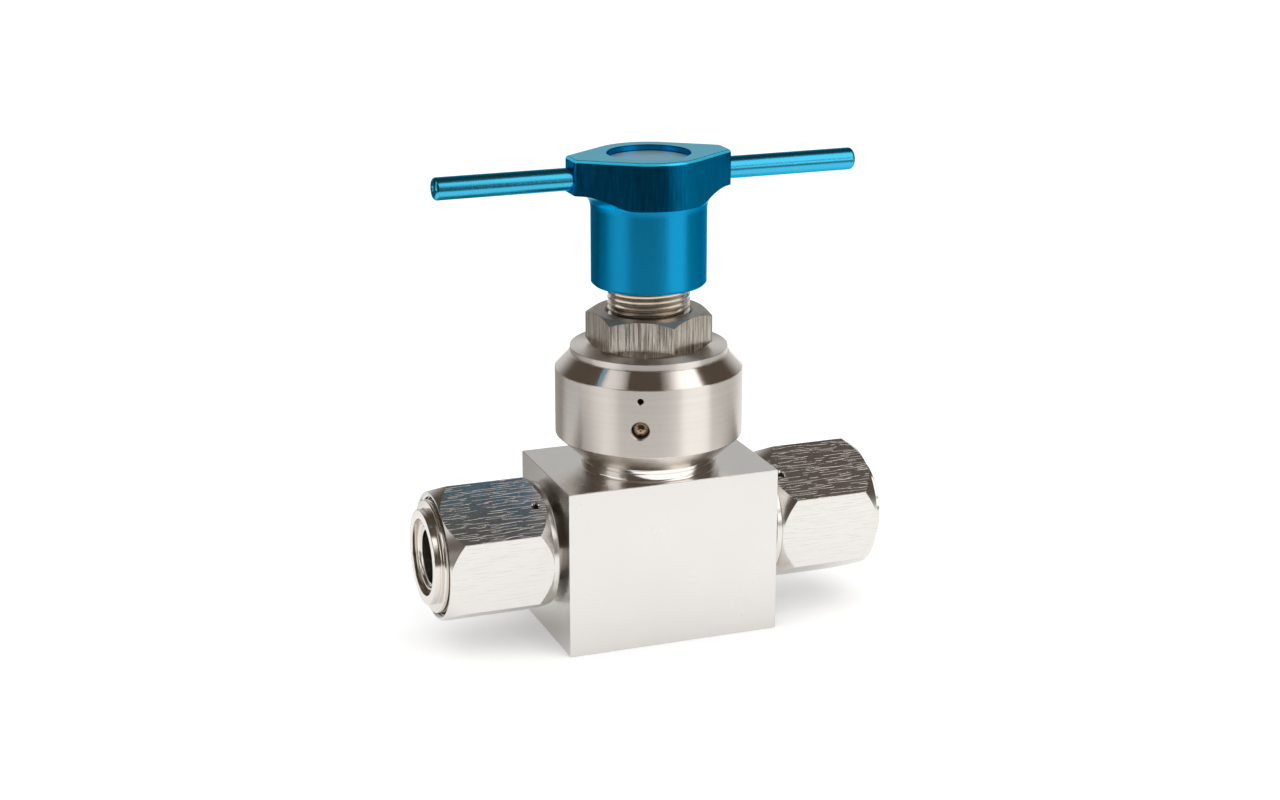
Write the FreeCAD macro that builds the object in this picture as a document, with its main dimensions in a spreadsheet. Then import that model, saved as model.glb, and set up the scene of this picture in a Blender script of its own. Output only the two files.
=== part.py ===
import FreeCAD, Part
import math
import os
import re
import Sketcher

# Bellows-sealed shut-off valve: a square body block with two face-seal port fittings,
# a round union nut that clamps the bonnet, a panel nut, and a T-bar handle.
# Origin: middle of the underside of the body block. X runs through the ports, Z is up.

# Driving sizes in millimetres, angles in degrees.
sizes = {
    # body block and its neck
    "block_length": 80.0,
    "block_width": 54.0,
    "block_height": 61.5,
    "block_edge": 0.4,
    "neck_radius": 24.9,
    "neck_height": 26.5,
    "neck_fillet": 0.8,
    "relief_start": 2.6,
    "relief_height": 1.4,
    "relief_depth": 0.5,
    # flow path inside the block
    "port_height": 35.0,
    "passage_radius": 8.0,
    "orifice_radius": 7.0,
    "seat_width": 2.2,
    "seat_height": 2.0,
    "chamber_radius": 17.0,
    "chamber_floor": 45.5,
    "link_radius": 3.5,
    "link_place": 13.0,
    # port glands
    "gland_insert": 12.0,
    "tube_radius": 14.5,
    "bore_radius": 9.7,
    "gland_reach": 86.5,
    "boss_radius": 17.2,
    "boss_length": 2.6,
    "boss_edge": 0.5,
    "gland_head_radius": 20.4,
    "gland_head_length": 18.0,
    "seal_recess_radius": 13.8,
    "seal_recess_depth": 2.5,
    "bead_place": 11.8,
    "bead_radius": 0.9,
    # port nuts and their thrust rings
    "nut_flats": 46.0,
    "nut_start": 42.0,
    "nut_end": 82.5,
    "nut_collar_radius": 22.6,
    "nut_collar_length": 2.2,
    "nut_chamfer": 5.4,
    "nut_wall": 4.5,
    "nut_bore_radius": 21.4,
    "nut_mouth": 0.6,
    "nut_hole_gap": 0.4,
    "test_hole_radius": 1.1,
    "test_hole_place": 5.8,
    "test_hole_sink": 0.5,
    "left_nut_roll": 34.5,
    "right_nut_roll": 32.8,
    "thrust_ring_height": 2.0,
    "thrust_ring_gap": 0.3,
    # union nut
    "union_lift": 4.5,
    "union_foot_width": 0.9,
    "union_low_bevel": 7.5,
    "union_radius": 34.0,
    "union_wall": 24.5,
    "union_high_bevel": 5.5,
    "union_bevel_width": 5.1,
    "union_boss_step": 0.4,
    "union_boss_height": 2.35,
    "lock_angle": -25.66,
    "lock_screw_radius": 3.0,
    "lock_hole_gap": 0.25,
    "lock_hole_sink": 0.4,
    "lock_screw_place": 17.35,
    "lock_screw_sunk": 1.0,
    "lock_screw_dome": 1.2,
    "lock_screw_crown": 1.6,
    "lock_screw_dimple": 0.6,
    "vent_radius": 1.1,
    "vent_place": 28.1,
    # bonnet and what it clamps
    "bonnet_flange_radius": 23.7,
    "flange_height": 7.0,
    "shank_radius": 16.7,
    "shank_gap": 0.3,
    "post_radius": 14.9,
    "post_edge": 1.0,
    "cavity_radius": 12.5,
    "stem_nut_radius": 11.0,
    "stem_nut_flange": 2.0,
    "guide_height": 5.0,
    "seal_groove_radius": 10.0,
    "seal_groove_height": 2.5,
    "seal_groove_place": 1.2,
    "o_ring_radius": 0.95,
    "gasket_inner_radius": 18.6,
    "gasket_width": 3.6,
    "gasket_height": 1.0,
    "ring_height": 4.0,
    "spigot_height": 4.0,
    "ring_bore_radius": 10.0,
    "bushing_flange": 1.0,
    "bushing_flange_radius": 11.5,
    # bellows
    "bellows_radius": 15.0,
    "bellows_root_radius": 10.6,
    "bellows_wall": 0.35,
    "bellows_turns": 8,
    # panel nut
    "panel_nut_flats": 40.0,
    "panel_nut_height": 12.85,
    "panel_nut_chamfer": 1.8,
    "panel_nut_sink": 0.9,
    "panel_nut_turn": 32.1,
    "bare_thread": 9.9,
    # lower stem, disc and coupling
    "stem_radius": 5.0,
    "insert_proud": 0.5,
    "insert_height": 3.0,
    "insert_inner_radius": 5.8,
    "insert_outer_radius": 10.4,
    "disc_radius": 12.0,
    "disc_height": 4.0,
    "disc_floor": 3.4,
    "bellows_foot_height": 4.0,
    "cup_radius": 12.0,
    "cup_gap": 0.5,
    "cup_bore_radius": 9.5,
    "cup_floor_height": 4.5,
    "cap_height": 3.0,
    "cap_hole_gap": 0.2,
    "pin_radius": 1.5,
    "pin_reach": 14.0,
    "pin_gap": 0.2,
    "race_height": 1.4,
    "race_hole_gap": 0.2,
    "ball_radius": 1.5,
    "ball_circle": 6.9,
    "ball_count": 10,
    "stem_lift": 6.0,
    "lift_gap": 1.5,
    # spindle
    "nose_radius": 4.2,
    "nose_length": 5.2,
    "collar_radius": 9.0,
    "collar_height": 3.5,
    "collar_gap": 0.2,
    "spindle_neck_radius": 6.0,
    "spindle_neck_clear": 3.0,
    "spindle_radius": 7.9,
    "journal_radius": 6.45,
    "journal_height": 11.5,
    "journal_flat": 0.8,
    # handle hub
    "handle_gap": 2.0,
    "skirt_radius": 20.75,
    "skirt_edge": 0.9,
    "skirt_depth": 21.4,
    "skirt_bore_gap": 1.3,
    "head_rise": 34.4,
    "head_height": 12.7,
    "head_radius": 21.25,
    "head_reach": 29.5,
    "facet_width": 10.0,
    "facet_edge": 0.6,
    "head_edge": 1.2,
    "under_fillet": 7.0,
    "recess_radius": 14.85,
    "recess_depth": 2.2,
    "hub_web_gap": 0.5,
    # T-bar and set screws
    "bar_radius": 4.0,
    "bar_length": 158.0,
    "bar_rise": 5.2,
    "bar_edge": 1.4,
    "centre_hole_radius": 1.25,
    "centre_hole_depth": 2.2,
    "screw_radius": 2.5,
    "screw_length": 9.0,
    "screw_point": 0.8,
    "screw_socket": 2.5,
    "screw_socket_depth": 3.0,
    "hub_screw_rise": 6.0,
    # clearances shared by the fits
    "slip_gap": 0.04,
    "running_gap": 0.06,
    "thread_gap": 0.1,
}

# Heights above the underside of the block, each built on the one below it.
neck_top = "(block_height + neck_height)"
seat_plane = "(chamber_floor + seat_height)"
ring_top = f"({neck_top} + ring_height)"
flange_top = f"({ring_top} + flange_height)"
spigot_base = f"({neck_top} - spigot_height)"
union_base = "(block_height + union_lift)"
union_low = f"({union_base} + union_low_bevel)"
union_high = f"({union_low} + union_wall)"
union_shelf = f"({union_high} + union_high_bevel)"
union_top = f"({union_shelf} + union_boss_height)"
panel_top = f"({union_top} + panel_nut_height)"
skirt_base = f"({panel_top} + bare_thread)"
hub_ceiling = f"({skirt_base} + skirt_depth)"
bonnet_top = f"({hub_ceiling} - handle_gap)"
guide_base = f"({bonnet_top} - guide_height)"
head_base = f"({skirt_base} + head_rise)"
head_top = f"({head_base} + head_height)"
bar_level = f"({head_base} + bar_rise)"
disc_base = f"({seat_plane} + insert_proud)"
disc_step = f"({disc_base} + disc_height)"
disc_top = f"({disc_step} + bellows_foot_height)"
bellows_length = f"({spigot_base} - {disc_top})"
cup_base = f"({ring_top} + bushing_flange + cup_gap)"
cup_floor = f"({cup_base} + cup_floor_height)"
ball_level = f"({cup_floor} + race_height + ball_radius + slip_gap)"
upper_race_base = f"({ball_level} + ball_radius + slip_gap)"
collar_base = f"({upper_race_base} + race_height)"
collar_top = f"({collar_base} + collar_height)"
cup_top = f"({collar_top} + collar_gap)"
cap_top = f"({cup_top} + cap_height)"
stem_nut_base = f"({cap_top} + stem_lift + lift_gap)"
cavity_top = f"({stem_nut_base} + stem_nut_flange)"
pin_level = f"({cup_base} + cup_floor_height / 2)"
hub_screw_level = f"({hub_ceiling} + hub_screw_rise)"
lock_screw_level = f"({union_base} + lock_screw_place)"
vent_level = f"({union_base} + vent_place)"

doc = FreeCAD.newDocument("bellows_valve")
sheet = doc.addObject("Spreadsheet::Sheet", "Sizes")
for row, (word, number) in enumerate(sizes.items(), start=1):
    sheet.set(f"A{row}", word)
    sheet.set(f"B{row}", str(number))
    sheet.setAlias(f"B{row}", word)
doc.recompute()

sub_parts = []


# Formulas and placing

def bound(formula):
    """A formula with each size name pointed at its cell."""
    def cell(match):
        word = match.group()
        return f"Sizes.{word}" if word in sizes else word
    return re.sub(r"[a-z_]+", cell, str(formula))


def amount(formula):
    """The present value of a formula."""
    return float(sheet.evalExpression(bound(formula)))


def place(item, across="0", back="0", up="0", yaw="0", roll="0"):
    """Bind where a sub-part stands and how it is turned."""
    spot = f"vector({bound(across)}; {bound(back)}; {bound(up)})"
    turn = f"rotation({bound(yaw)}; 0; {bound(roll)})"
    item.setExpression("Placement", f"placement({spot}; {turn})")


# Bodies and sketches

def new_body(label):
    body = doc.addObject("PartDesign::Body", label)
    body.Label = label
    sub_parts.append(body)
    return body


def origin_part(body, role):
    return next(item for item in body.Origin.OriginFeatures if item.Role == role)


def new_sketch(body, name, role, offset=None):
    """A sketch on an origin plane of its body, or parallel to it at an offset."""
    sketch = body.newObject("Sketcher::SketchObject", f"{body.Label}_{name}_sketch")
    sketch.AttachmentSupport = (origin_part(body, role), [""])
    sketch.MapMode = "FlatFace"
    if offset is not None:
        sketch.setExpression("AttachmentOffset.Base.z", bound(offset))
    return sketch


def pin_point(sketch, part, end, across, up):
    """Hold one point of a sketch at two formulas measured from the origin."""
    for kind, formula, axis in (("DistanceX", across, -2), ("DistanceY", up, -1)):
        distance = amount(formula)
        if abs(distance) < 1e-9:
            sketch.addConstraint(Sketcher.Constraint("PointOnObject", part, end, axis))
            continue
        if distance > 0:
            rule = Sketcher.Constraint(kind, -1, 1, part, end, distance)
            text = bound(formula)
        else:
            rule = Sketcher.Constraint(kind, part, end, -1, 1, -distance)
            text = f"-({bound(formula)})"
        number = sketch.addConstraint(rule)
        sketch.setExpression(f"Constraints[{number}]", text)


def hold_radius(sketch, part, formula):
    number = sketch.addConstraint(Sketcher.Constraint("Radius", part, amount(formula)))
    sketch.setExpression(f"Constraints[{number}]", bound(formula))


def spot_of(pair):
    return FreeCAD.Vector(amount(pair[0]), amount(pair[1]), 0)


def add_outline(sketch, points):
    """A closed outline of straight sides through points given as pairs of formulas."""
    spots = [spot_of(pair) for pair in points]
    first = sketch.GeometryCount
    count = len(points)
    for start, end in zip(spots, spots[1:] + spots[:1]):
        sketch.addGeometry(Part.LineSegment(start, end), False)
    joins = []
    for index in range(count):
        following = first + (index + 1) % count
        joins.append(Sketcher.Constraint("Coincident", first + index, 2, following, 1))
    sketch.addConstraint(joins)
    for index, (across, up) in enumerate(points):
        pin_point(sketch, first + index, 1, across, up)


def add_circle(sketch, across, up, radius):
    centre = spot_of((across, up))
    circle = Part.Circle(centre, FreeCAD.Vector(0, 0, 1), amount(radius))
    part = sketch.addGeometry(circle, False)
    pin_point(sketch, part, 3, across, up)
    hold_radius(sketch, part, radius)


# Features

def revolve(body, name, sketch, axis, cut=False):
    kind = "PartDesign::Groove" if cut else "PartDesign::Revolution"
    feature = body.newObject(kind, f"{body.Label}_{name}")
    feature.Profile = sketch
    feature.ReferenceAxis = (sketch, [axis])
    feature.Angle = 360
    sketch.Visibility = False
    return feature


def turned(body, name, points, along="Z", cut=False):
    """Turn an outline of (radius, height) about Z, or of (place, radius) about X."""
    sketch = new_sketch(body, name, "XZ_Plane")
    add_outline(sketch, points)
    return revolve(body, name, sketch, "V_Axis" if along == "Z" else "H_Axis", cut)


def extrude(body, name, sketch, length, cut=False, backwards=False):
    kind = "PartDesign::Pocket" if cut else "PartDesign::Pad"
    feature = body.newObject(kind, f"{body.Label}_{name}")
    feature.Profile = sketch
    feature.setExpression("Length", bound(length))
    feature.Reversed = backwards
    sketch.Visibility = False
    return feature


def drill(body, name, role, across, up, radius, length, offset=None, backwards=False):
    """A round hole that starts at a plane and runs into the piece."""
    sketch = new_sketch(body, name, role, offset)
    add_circle(sketch, across, up, radius)
    return extrude(body, name, sketch, length, cut=True, backwards=backwards)


def edges_where(feature, wanted):
    doc.recompute()
    names = []
    for number, edge in enumerate(feature.Shape.Edges, start=1):
        if wanted(edge):
            names.append(f"Edge{number}")
    if not names:
        raise ValueError(f"no edge found on {feature.Label}")
    return names


def soften(body, name, feature, wanted, formula, chamfer=False):
    """Round or chamfer the edges of a feature that answer a test."""
    kind = "PartDesign::Chamfer" if chamfer else "PartDesign::Fillet"
    names = edges_where(feature, wanted)
    result = body.newObject(kind, f"{body.Label}_{name}")
    result.Base = (feature, names)
    result.setExpression("Size" if chamfer else "Radius", bound(formula))
    return result


def near(first, second, allowed=0.01):
    return abs(first - second) < allowed


def is_flat_ring(edge, level, radius):
    """True for a level round edge with this height and radius."""
    box = edge.BoundBox
    level_edge = near(box.ZMin, level) and near(box.ZMax, level)
    return level_edge and near(box.XLength, 2 * radius) and near(box.YLength, 2 * radius)


def hexagon(flats):
    """Corner points of a hexagon with a flat at the top."""
    corner = f"({flats} / sqrt(3))"
    half = f"({corner} / 2)"
    side = f"({flats} / 2)"
    points = [(corner, "0"), (half, side), (f"-{half}", side)]
    points += [(f"-{corner}", "0"), (f"-{half}", f"-{side}"), (half, f"-{side}")]
    return points


# Body block

def make_valve_body():
    body = new_body("valve_body")
    sketch = new_sketch(body, "block", "XY_Plane")
    half_x = "block_length / 2"
    half_y = "block_width / 2"
    corners = [(half_x, half_y), (f"-{half_x}", half_y)]
    corners += [(f"-{half_x}", f"-{half_y}"), (half_x, f"-{half_y}")]
    add_outline(sketch, corners)
    block = extrude(body, "block", sketch, "block_height")
    soften(body, "edges", block, lambda edge: True, "block_edge", chamfer=True)

    relief_base = "(block_height + relief_start)"
    relief_top = f"({relief_base} + relief_height)"
    relief_radius = "(neck_radius - relief_depth)"
    neck = turned(body, "neck", [
        ("0", "block_height - block_edge"),
        ("neck_radius", "block_height - block_edge"),
        ("neck_radius", relief_base),
        (relief_radius, relief_base),
        (relief_radius, relief_top),
        ("neck_radius", relief_top),
        ("neck_radius", neck_top),
        ("0", neck_top),
    ])
    block_top = amount("block_height")
    neck_radius = amount("neck_radius")
    soften(body, "neck_root", neck,
           lambda edge: is_flat_ring(edge, block_top, neck_radius), "neck_fillet")

    seat_radius = "(orifice_radius + seat_width)"
    turned(body, "chamber", [
        ("0", "port_height"),
        ("orifice_radius", "port_height"),
        ("orifice_radius", seat_plane),
        (seat_radius, seat_plane),
        (seat_radius, "chamber_floor"),
        ("chamber_radius", "chamber_floor"),
        ("chamber_radius", neck_top),
        ("0", neck_top),
    ], cut=True)
    turned(body, "gasket_groove", gasket_outline(), cut=True)

    half = "block_length / 2"
    socket = "tube_radius + slip_gap"
    left_end = "orifice_radius - 1"
    right_end = "link_place - link_radius"
    drill(body, "left_socket", "YZ_Plane", "0", "port_height", socket, "gland_insert",
          offset=f"-{half}", backwards=True)
    drill(body, "left_passage", "YZ_Plane", "0", "port_height", "passage_radius",
          f"{half} + {left_end}", offset=f"-{half}", backwards=True)
    drill(body, "right_socket", "YZ_Plane", "0", "port_height", socket, "gland_insert", offset=half)
    drill(body, "right_passage", "YZ_Plane", "0", "port_height", "passage_radius",
          f"{half} - ({right_end})", offset=half)
    drill(body, "link", "XY_Plane", "link_place", "0", "link_radius",
          "chamber_floor - port_height", offset="chamber_floor")
    return body


def gasket_outline():
    outer = "(gasket_inner_radius + gasket_width)"
    base = f"({neck_top} - gasket_height)"
    inner = "gasket_inner_radius"
    return [(inner, base), (outer, base), (outer, neck_top), (inner, neck_top)]


# Port fittings, modelled along X with the valve axis at zero

def make_gland(label, yaw):
    body = new_body(label)
    sketch = new_sketch(body, "profile", "XZ_Plane")
    inner_end = "(block_length / 2 - gland_insert)"
    head_front = "(gland_reach - boss_length)"
    head_back = f"({head_front} - gland_head_length)"
    recess_floor = "(gland_reach - seal_recess_depth)"
    add_outline(sketch, [
        (inner_end, "bore_radius"),
        (inner_end, "tube_radius"),
        (head_back, "tube_radius"),
        (head_back, "gland_head_radius"),
        (f"{head_front} - boss_edge", "gland_head_radius"),
        (head_front, "gland_head_radius - boss_edge"),
        (head_front, "boss_radius"),
        ("gland_reach - boss_edge", "boss_radius"),
        ("gland_reach", "boss_radius - boss_edge"),
        ("gland_reach", "seal_recess_radius"),
        (recess_floor, "seal_recess_radius"),
        (recess_floor, "bore_radius"),
    ])
    revolve(body, "profile", sketch, "H_Axis")
    bead = new_sketch(body, "bead", "XZ_Plane")
    add_circle(bead, recess_floor, "bead_place", "bead_radius")
    revolve(body, "bead", bead, "H_Axis")
    place(body, up="port_height", yaw=yaw)
    return body


def make_port_nut(label, yaw, roll):
    body = new_body(label)
    sketch = new_sketch(body, "hexagon", "YZ_Plane", offset="nut_start + nut_collar_length")
    add_outline(sketch, hexagon("nut_flats"))
    extrude(body, "hexagon", sketch, "nut_end - nut_start - nut_collar_length")

    corner = "(nut_flats / sqrt(3) + 1)"
    face = "(nut_flats / 2)"
    run = f"(nut_chamfer * ({corner} - {face}) / (nut_flats / sqrt(3) - {face}))"
    hex_start = "(nut_start + nut_collar_length)"
    turned(body, "outer_chamfer", [
        ("nut_end", face), ("nut_end", corner), (f"nut_end - {run}", corner),
    ], along="X", cut=True)
    turned(body, "inner_chamfer", [
        (hex_start, face), (hex_start, corner), (f"{hex_start} + {run}", corner),
    ], along="X", cut=True)
    turned(body, "collar", [
        ("nut_start", "0"), ("nut_start", "nut_collar_radius"),
        (f"{hex_start} + nut_mouth", "nut_collar_radius"), (f"{hex_start} + nut_mouth", "0"),
    ], along="X")
    shoulder = "(nut_start + nut_wall)"
    neck_hole = "(tube_radius + nut_hole_gap)"
    turned(body, "bore", [
        ("nut_start", "0"),
        ("nut_start", neck_hole),
        (shoulder, neck_hole),
        (shoulder, "nut_bore_radius"),
        ("nut_end - nut_mouth", "nut_bore_radius"),
        ("nut_end", "nut_bore_radius + nut_mouth"),
        ("nut_end", "0"),
    ], along="X", cut=True)
    hole = drill(body, "test_hole", "XY_Plane", "nut_start + test_hole_place", "0",
                 "test_hole_radius", "nut_flats", backwards=True)
    hole_radius = amount("test_hole_radius")
    flat_level = amount("nut_flats / 2")
    soften(body, "test_hole_sink", hole,
           lambda edge: is_flat_ring(edge, flat_level, hole_radius), "test_hole_sink", chamfer=True)
    place(body, up="port_height", yaw=yaw, roll=roll)
    return body


def make_thrust_ring(label, yaw):
    body = new_body(label)
    inner = "(tube_radius + thrust_ring_gap)"
    outer = "(nut_bore_radius - thrust_ring_gap)"
    start = "(nut_start + nut_wall + slip_gap)"
    end = f"({start} + thrust_ring_height)"
    turned(body, "profile", [(start, inner), (end, inner), (end, outer), (start, outer)], along="X")
    place(body, up="port_height", yaw=yaw)
    return body


# Union nut and its lock screw

def make_union_nut():
    body = new_body("union_nut")
    bore = "(neck_radius + thread_gap)"
    shelf = "(union_radius - union_bevel_width)"
    turned(body, "profile", [
        (bore, union_base),
        (f"{bore} + union_foot_width", union_base),
        ("union_radius", union_low),
        ("union_radius", union_high),
        (shelf, union_shelf),
        (f"{shelf} - union_boss_step", union_shelf),
        (f"{shelf} - union_boss_step", union_top),
        ("shank_radius + shank_gap", union_top),
        ("shank_radius + shank_gap", flange_top),
        (bore, flange_top),
    ])
    drill(body, "vent", "XZ_Plane", "0", vent_level, "vent_radius", "union_radius + 1", backwards=True)
    radius = "(lock_screw_radius + lock_hole_gap)"
    hole = drill(body, "lock_hole", "XZ_Plane", "0", lock_screw_level, radius,
                 "union_radius + 1", backwards=True)
    level = amount(lock_screw_level)
    reach = amount(radius)
    wall_middle = amount(f"(union_radius + {bore}) / 2")

    def rim(edge):
        box = edge.BoundBox
        return abs(box.Center.z - level) < reach / 2 and box.YMax < -wall_middle

    soften(body, "lock_sink", hole, rim, "lock_hole_sink", chamfer=True)
    place(body, yaw="lock_angle")
    return body


def make_lock_screw():
    body = new_body("lock_screw")
    length = "(union_radius - lock_screw_sunk - neck_radius - thread_gap)"
    shoulder = f"({length} - lock_screw_dome)"
    turned(body, "profile", [
        ("0", "0"),
        ("lock_screw_radius - lock_screw_dimple", "0"),
        ("lock_screw_radius", "lock_screw_dimple"),
        ("lock_screw_radius", shoulder),
        ("lock_screw_crown", length),
        ("lock_screw_dimple", length),
        ("0", f"{length} - lock_screw_dimple"),
    ])
    tip = "(neck_radius + thread_gap)"
    place(body, across=f"{tip} * sin(lock_angle)", back=f"-{tip} * cos(lock_angle)",
          up=lock_screw_level, yaw="lock_angle", roll="90")
    return body


# Bonnet, what it clamps, and the panel nut

def make_bonnet():
    body = new_body("bonnet")
    guide = "(spindle_radius + running_gap)"
    groove_base = f"({guide_base} + seal_groove_place)"
    groove_top = f"({groove_base} + seal_groove_height)"
    shank_top = f"({union_top} - shank_gap)"
    turned(body, "profile", [
        ("cavity_radius", ring_top),
        ("bonnet_flange_radius", ring_top),
        ("bonnet_flange_radius", flange_top),
        ("shank_radius", flange_top),
        ("shank_radius", shank_top),
        ("post_radius", shank_top),
        ("post_radius", f"{bonnet_top} - post_edge"),
        ("post_radius - post_edge", bonnet_top),
        (guide, bonnet_top),
        (guide, groove_top),
        ("seal_groove_radius", groove_top),
        ("seal_groove_radius", groove_base),
        (guide, groove_base),
        (guide, guide_base),
        ("stem_nut_radius", guide_base),
        ("stem_nut_radius", cavity_top),
        ("cavity_radius", cavity_top),
    ])
    slot = new_sketch(body, "pin_slot", "XZ_Plane")
    half = "(pin_radius + pin_gap)"
    slot_top = f"({pin_level} + stem_lift + {half})"
    add_outline(slot, [(half, ring_top), (half, slot_top), (f"-{half}", slot_top), (f"-{half}", ring_top)])
    extrude(body, "pin_slot", slot, "pin_reach + pin_gap", cut=True)
    return body


def make_gasket():
    body = new_body("bonnet_gasket")
    turned(body, "profile", gasket_outline())
    return body


def make_bellows_ring():
    body = new_body("bellows_ring")
    turned(body, "profile", [
        ("ring_bore_radius", spigot_base),
        ("bellows_radius", spigot_base),
        ("bellows_radius", neck_top),
        ("bonnet_flange_radius", neck_top),
        ("bonnet_flange_radius", ring_top),
        ("ring_bore_radius", ring_top),
    ])
    return body


def make_guide_bushing():
    body = new_body("guide_bushing")
    inner = "(stem_radius + running_gap)"
    outer = "(ring_bore_radius - slip_gap)"
    flange = f"({ring_top} + bushing_flange)"
    turned(body, "profile", [
        (inner, spigot_base), (outer, spigot_base), (outer, ring_top),
        ("bushing_flange_radius", ring_top), ("bushing_flange_radius", flange), (inner, flange),
    ])
    return body


def make_stem_nut():
    body = new_body("stem_nut")
    inner = "(spindle_radius + thread_gap)"
    outer = "(stem_nut_radius - slip_gap)"
    flange = "(cavity_radius - slip_gap)"
    turned(body, "profile", [
        (inner, stem_nut_base), (flange, stem_nut_base), (flange, cavity_top),
        (outer, cavity_top), (outer, guide_base), (inner, guide_base),
    ])
    return body


def make_stem_o_ring():
    ring = doc.addObject("Part::Torus", "stem_o_ring")
    ring.Label = "stem_o_ring"
    ring.setExpression("Radius1", bound("seal_groove_radius - o_ring_radius - slip_gap"))
    ring.setExpression("Radius2", bound("o_ring_radius"))
    place(ring, up=f"{guide_base} + seal_groove_place + seal_groove_height / 2")
    sub_parts.append(ring)
    return ring


def make_panel_nut():
    body = new_body("panel_nut")
    sketch = new_sketch(body, "hexagon", "XY_Plane", offset=union_top)
    add_outline(sketch, hexagon("panel_nut_flats"))
    extrude(body, "hexagon", sketch, "panel_nut_height")
    face = "(panel_nut_flats / 2)"
    corner = "(panel_nut_flats / sqrt(3) + 1)"
    drop = f"(panel_nut_chamfer * ({corner} - {face}) / (panel_nut_flats / sqrt(3) - {face}))"
    turned(body, "top_chamfer", [
        (face, panel_top), (corner, panel_top), (corner, f"{panel_top} - {drop}"),
    ], cut=True)
    turned(body, "low_chamfer", [
        (face, union_top), (corner, union_top), (corner, f"{union_top} + {drop}"),
    ], cut=True)
    bore = "(post_radius + thread_gap)"
    turned(body, "bore", [
        ("0", union_top),
        (f"{bore} + panel_nut_sink", union_top),
        (bore, f"{union_top} + panel_nut_sink"),
        (bore, f"{panel_top} - panel_nut_sink"),
        (f"{bore} + panel_nut_sink", panel_top),
        ("0", panel_top),
    ], cut=True)
    place(body, yaw="panel_nut_turn")
    return body


# Bellows: one fold turned and repeated along the axis

def make_bellows():
    body = new_body("bellows")
    pitch = f"({bellows_length} / bellows_turns)"
    wall = "bellows_wall"
    root = "bellows_root_radius"
    crown = "bellows_radius"
    middle = f"({disc_top} + {pitch} / 2)"
    end = f"({disc_top} + {pitch})"
    fold = turned(body, "fold", [
        (root, disc_top),
        (f"{root} + {wall}", disc_top),
        (crown, f"{middle} - {wall}"),
        (crown, f"{middle} + {wall}"),
        (f"{root} + {wall}", end),
        (root, end),
        (root, f"{end} - {wall}"),
        (f"{crown} - {wall}", middle),
        (root, f"{disc_top} + {wall}"),
    ])
    folds = body.newObject("PartDesign::LinearPattern", "bellows_folds")
    folds.Originals = [fold]
    folds.Direction = (origin_part(body, "Z_Axis"), [""])
    folds.setExpression("Length", bound(f"{bellows_length} - {pitch}"))
    folds.setExpression("Occurrences", bound("bellows_turns"))
    body.Tip = folds
    return body


# Moving stem below the handle

def make_lower_stem():
    body = new_body("lower_stem")
    foot = f"({disc_base} + disc_floor)"
    edge = "block_edge"
    turned(body, "profile", [
        ("0", foot), (f"stem_radius - {edge}", foot), ("stem_radius", f"{foot} + {edge}"),
        ("stem_radius", cup_floor), ("0", cup_floor),
    ])
    return body


def make_valve_disc():
    body = new_body("valve_disc")
    groove_top = f"({seat_plane} + insert_height)"
    foot = f"({disc_base} + disc_floor)"
    bore = "(stem_radius + slip_gap)"
    turned(body, "profile", [
        ("0", disc_base),
        ("insert_inner_radius", disc_base),
        ("insert_inner_radius", groove_top),
        ("insert_outer_radius", groove_top),
        ("insert_outer_radius", disc_base),
        ("disc_radius", disc_base),
        ("disc_radius", disc_step),
        ("bellows_radius", disc_step),
        ("bellows_radius", disc_top),
        (bore, disc_top),
        (bore, foot),
        ("0", foot),
    ])
    return body


def make_seat_insert():
    body = new_body("seat_insert")
    inner = "(insert_inner_radius + slip_gap)"
    outer = "(insert_outer_radius - slip_gap)"
    top = f"({seat_plane} + insert_height)"
    turned(body, "profile", [(inner, seat_plane), (outer, seat_plane), (outer, top), (inner, top)])
    return body


def make_stem_coupling():
    body = new_body("stem_coupling")
    hole = "(stem_radius + slip_gap)"
    turned(body, "profile", [
        (hole, cup_base), ("cup_radius", cup_base), ("cup_radius", cup_top),
        ("cup_bore_radius", cup_top), ("cup_bore_radius", cup_floor), (hole, cup_floor),
    ])
    drill(body, "pin_hole", "XZ_Plane", "0", pin_level, "pin_radius + slip_gap", "cup_radius + 1")
    return body


def make_coupling_cap():
    body = new_body("coupling_cap")
    hole = "(spindle_neck_radius + cap_hole_gap)"
    turned(body, "profile", [
        (hole, cup_top), ("cup_radius", cup_top), ("cup_radius", cap_top), (hole, cap_top),
    ])
    return body


def make_anti_rotation_pin():
    body = new_body("anti_rotation_pin")
    start = "(stem_radius + slip_gap)"
    length = f"(pin_reach - {start})"
    edge = "block_edge"
    turned(body, "profile", [
        ("0", "0"), ("pin_radius", "0"), ("pin_radius", f"{length} - {edge}"),
        (f"pin_radius - {edge}", length), ("0", length),
    ])
    place(body, back=start, up=pin_level, roll="-90")
    return body


def make_race(label, base):
    body = new_body(label)
    inner = "(nose_radius + race_hole_gap)"
    outer = "(cup_bore_radius - race_hole_gap)"
    top = f"({base} + race_height)"
    turned(body, "profile", [(inner, base), (outer, base), (outer, top), (inner, top)])
    return body


def make_thrust_balls():
    """Loose balls in one ring, each a solid of its own."""
    balls = []
    for index in range(int(amount("ball_count"))):
        ball = doc.addObject("Part::Sphere", f"ball_{index}")
        ball.setExpression("Radius", bound("ball_radius"))
        turn = f"(360 / ball_count * {index})"
        place(ball, across=f"ball_circle * cos({turn})", back=f"ball_circle * sin({turn})", up=ball_level)
        balls.append(ball)
    group = doc.addObject("Part::Compound", "thrust_balls")
    group.Label = "thrust_balls"
    group.Links = balls
    sub_parts.append(group)
    return group


# Handle assembly

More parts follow.
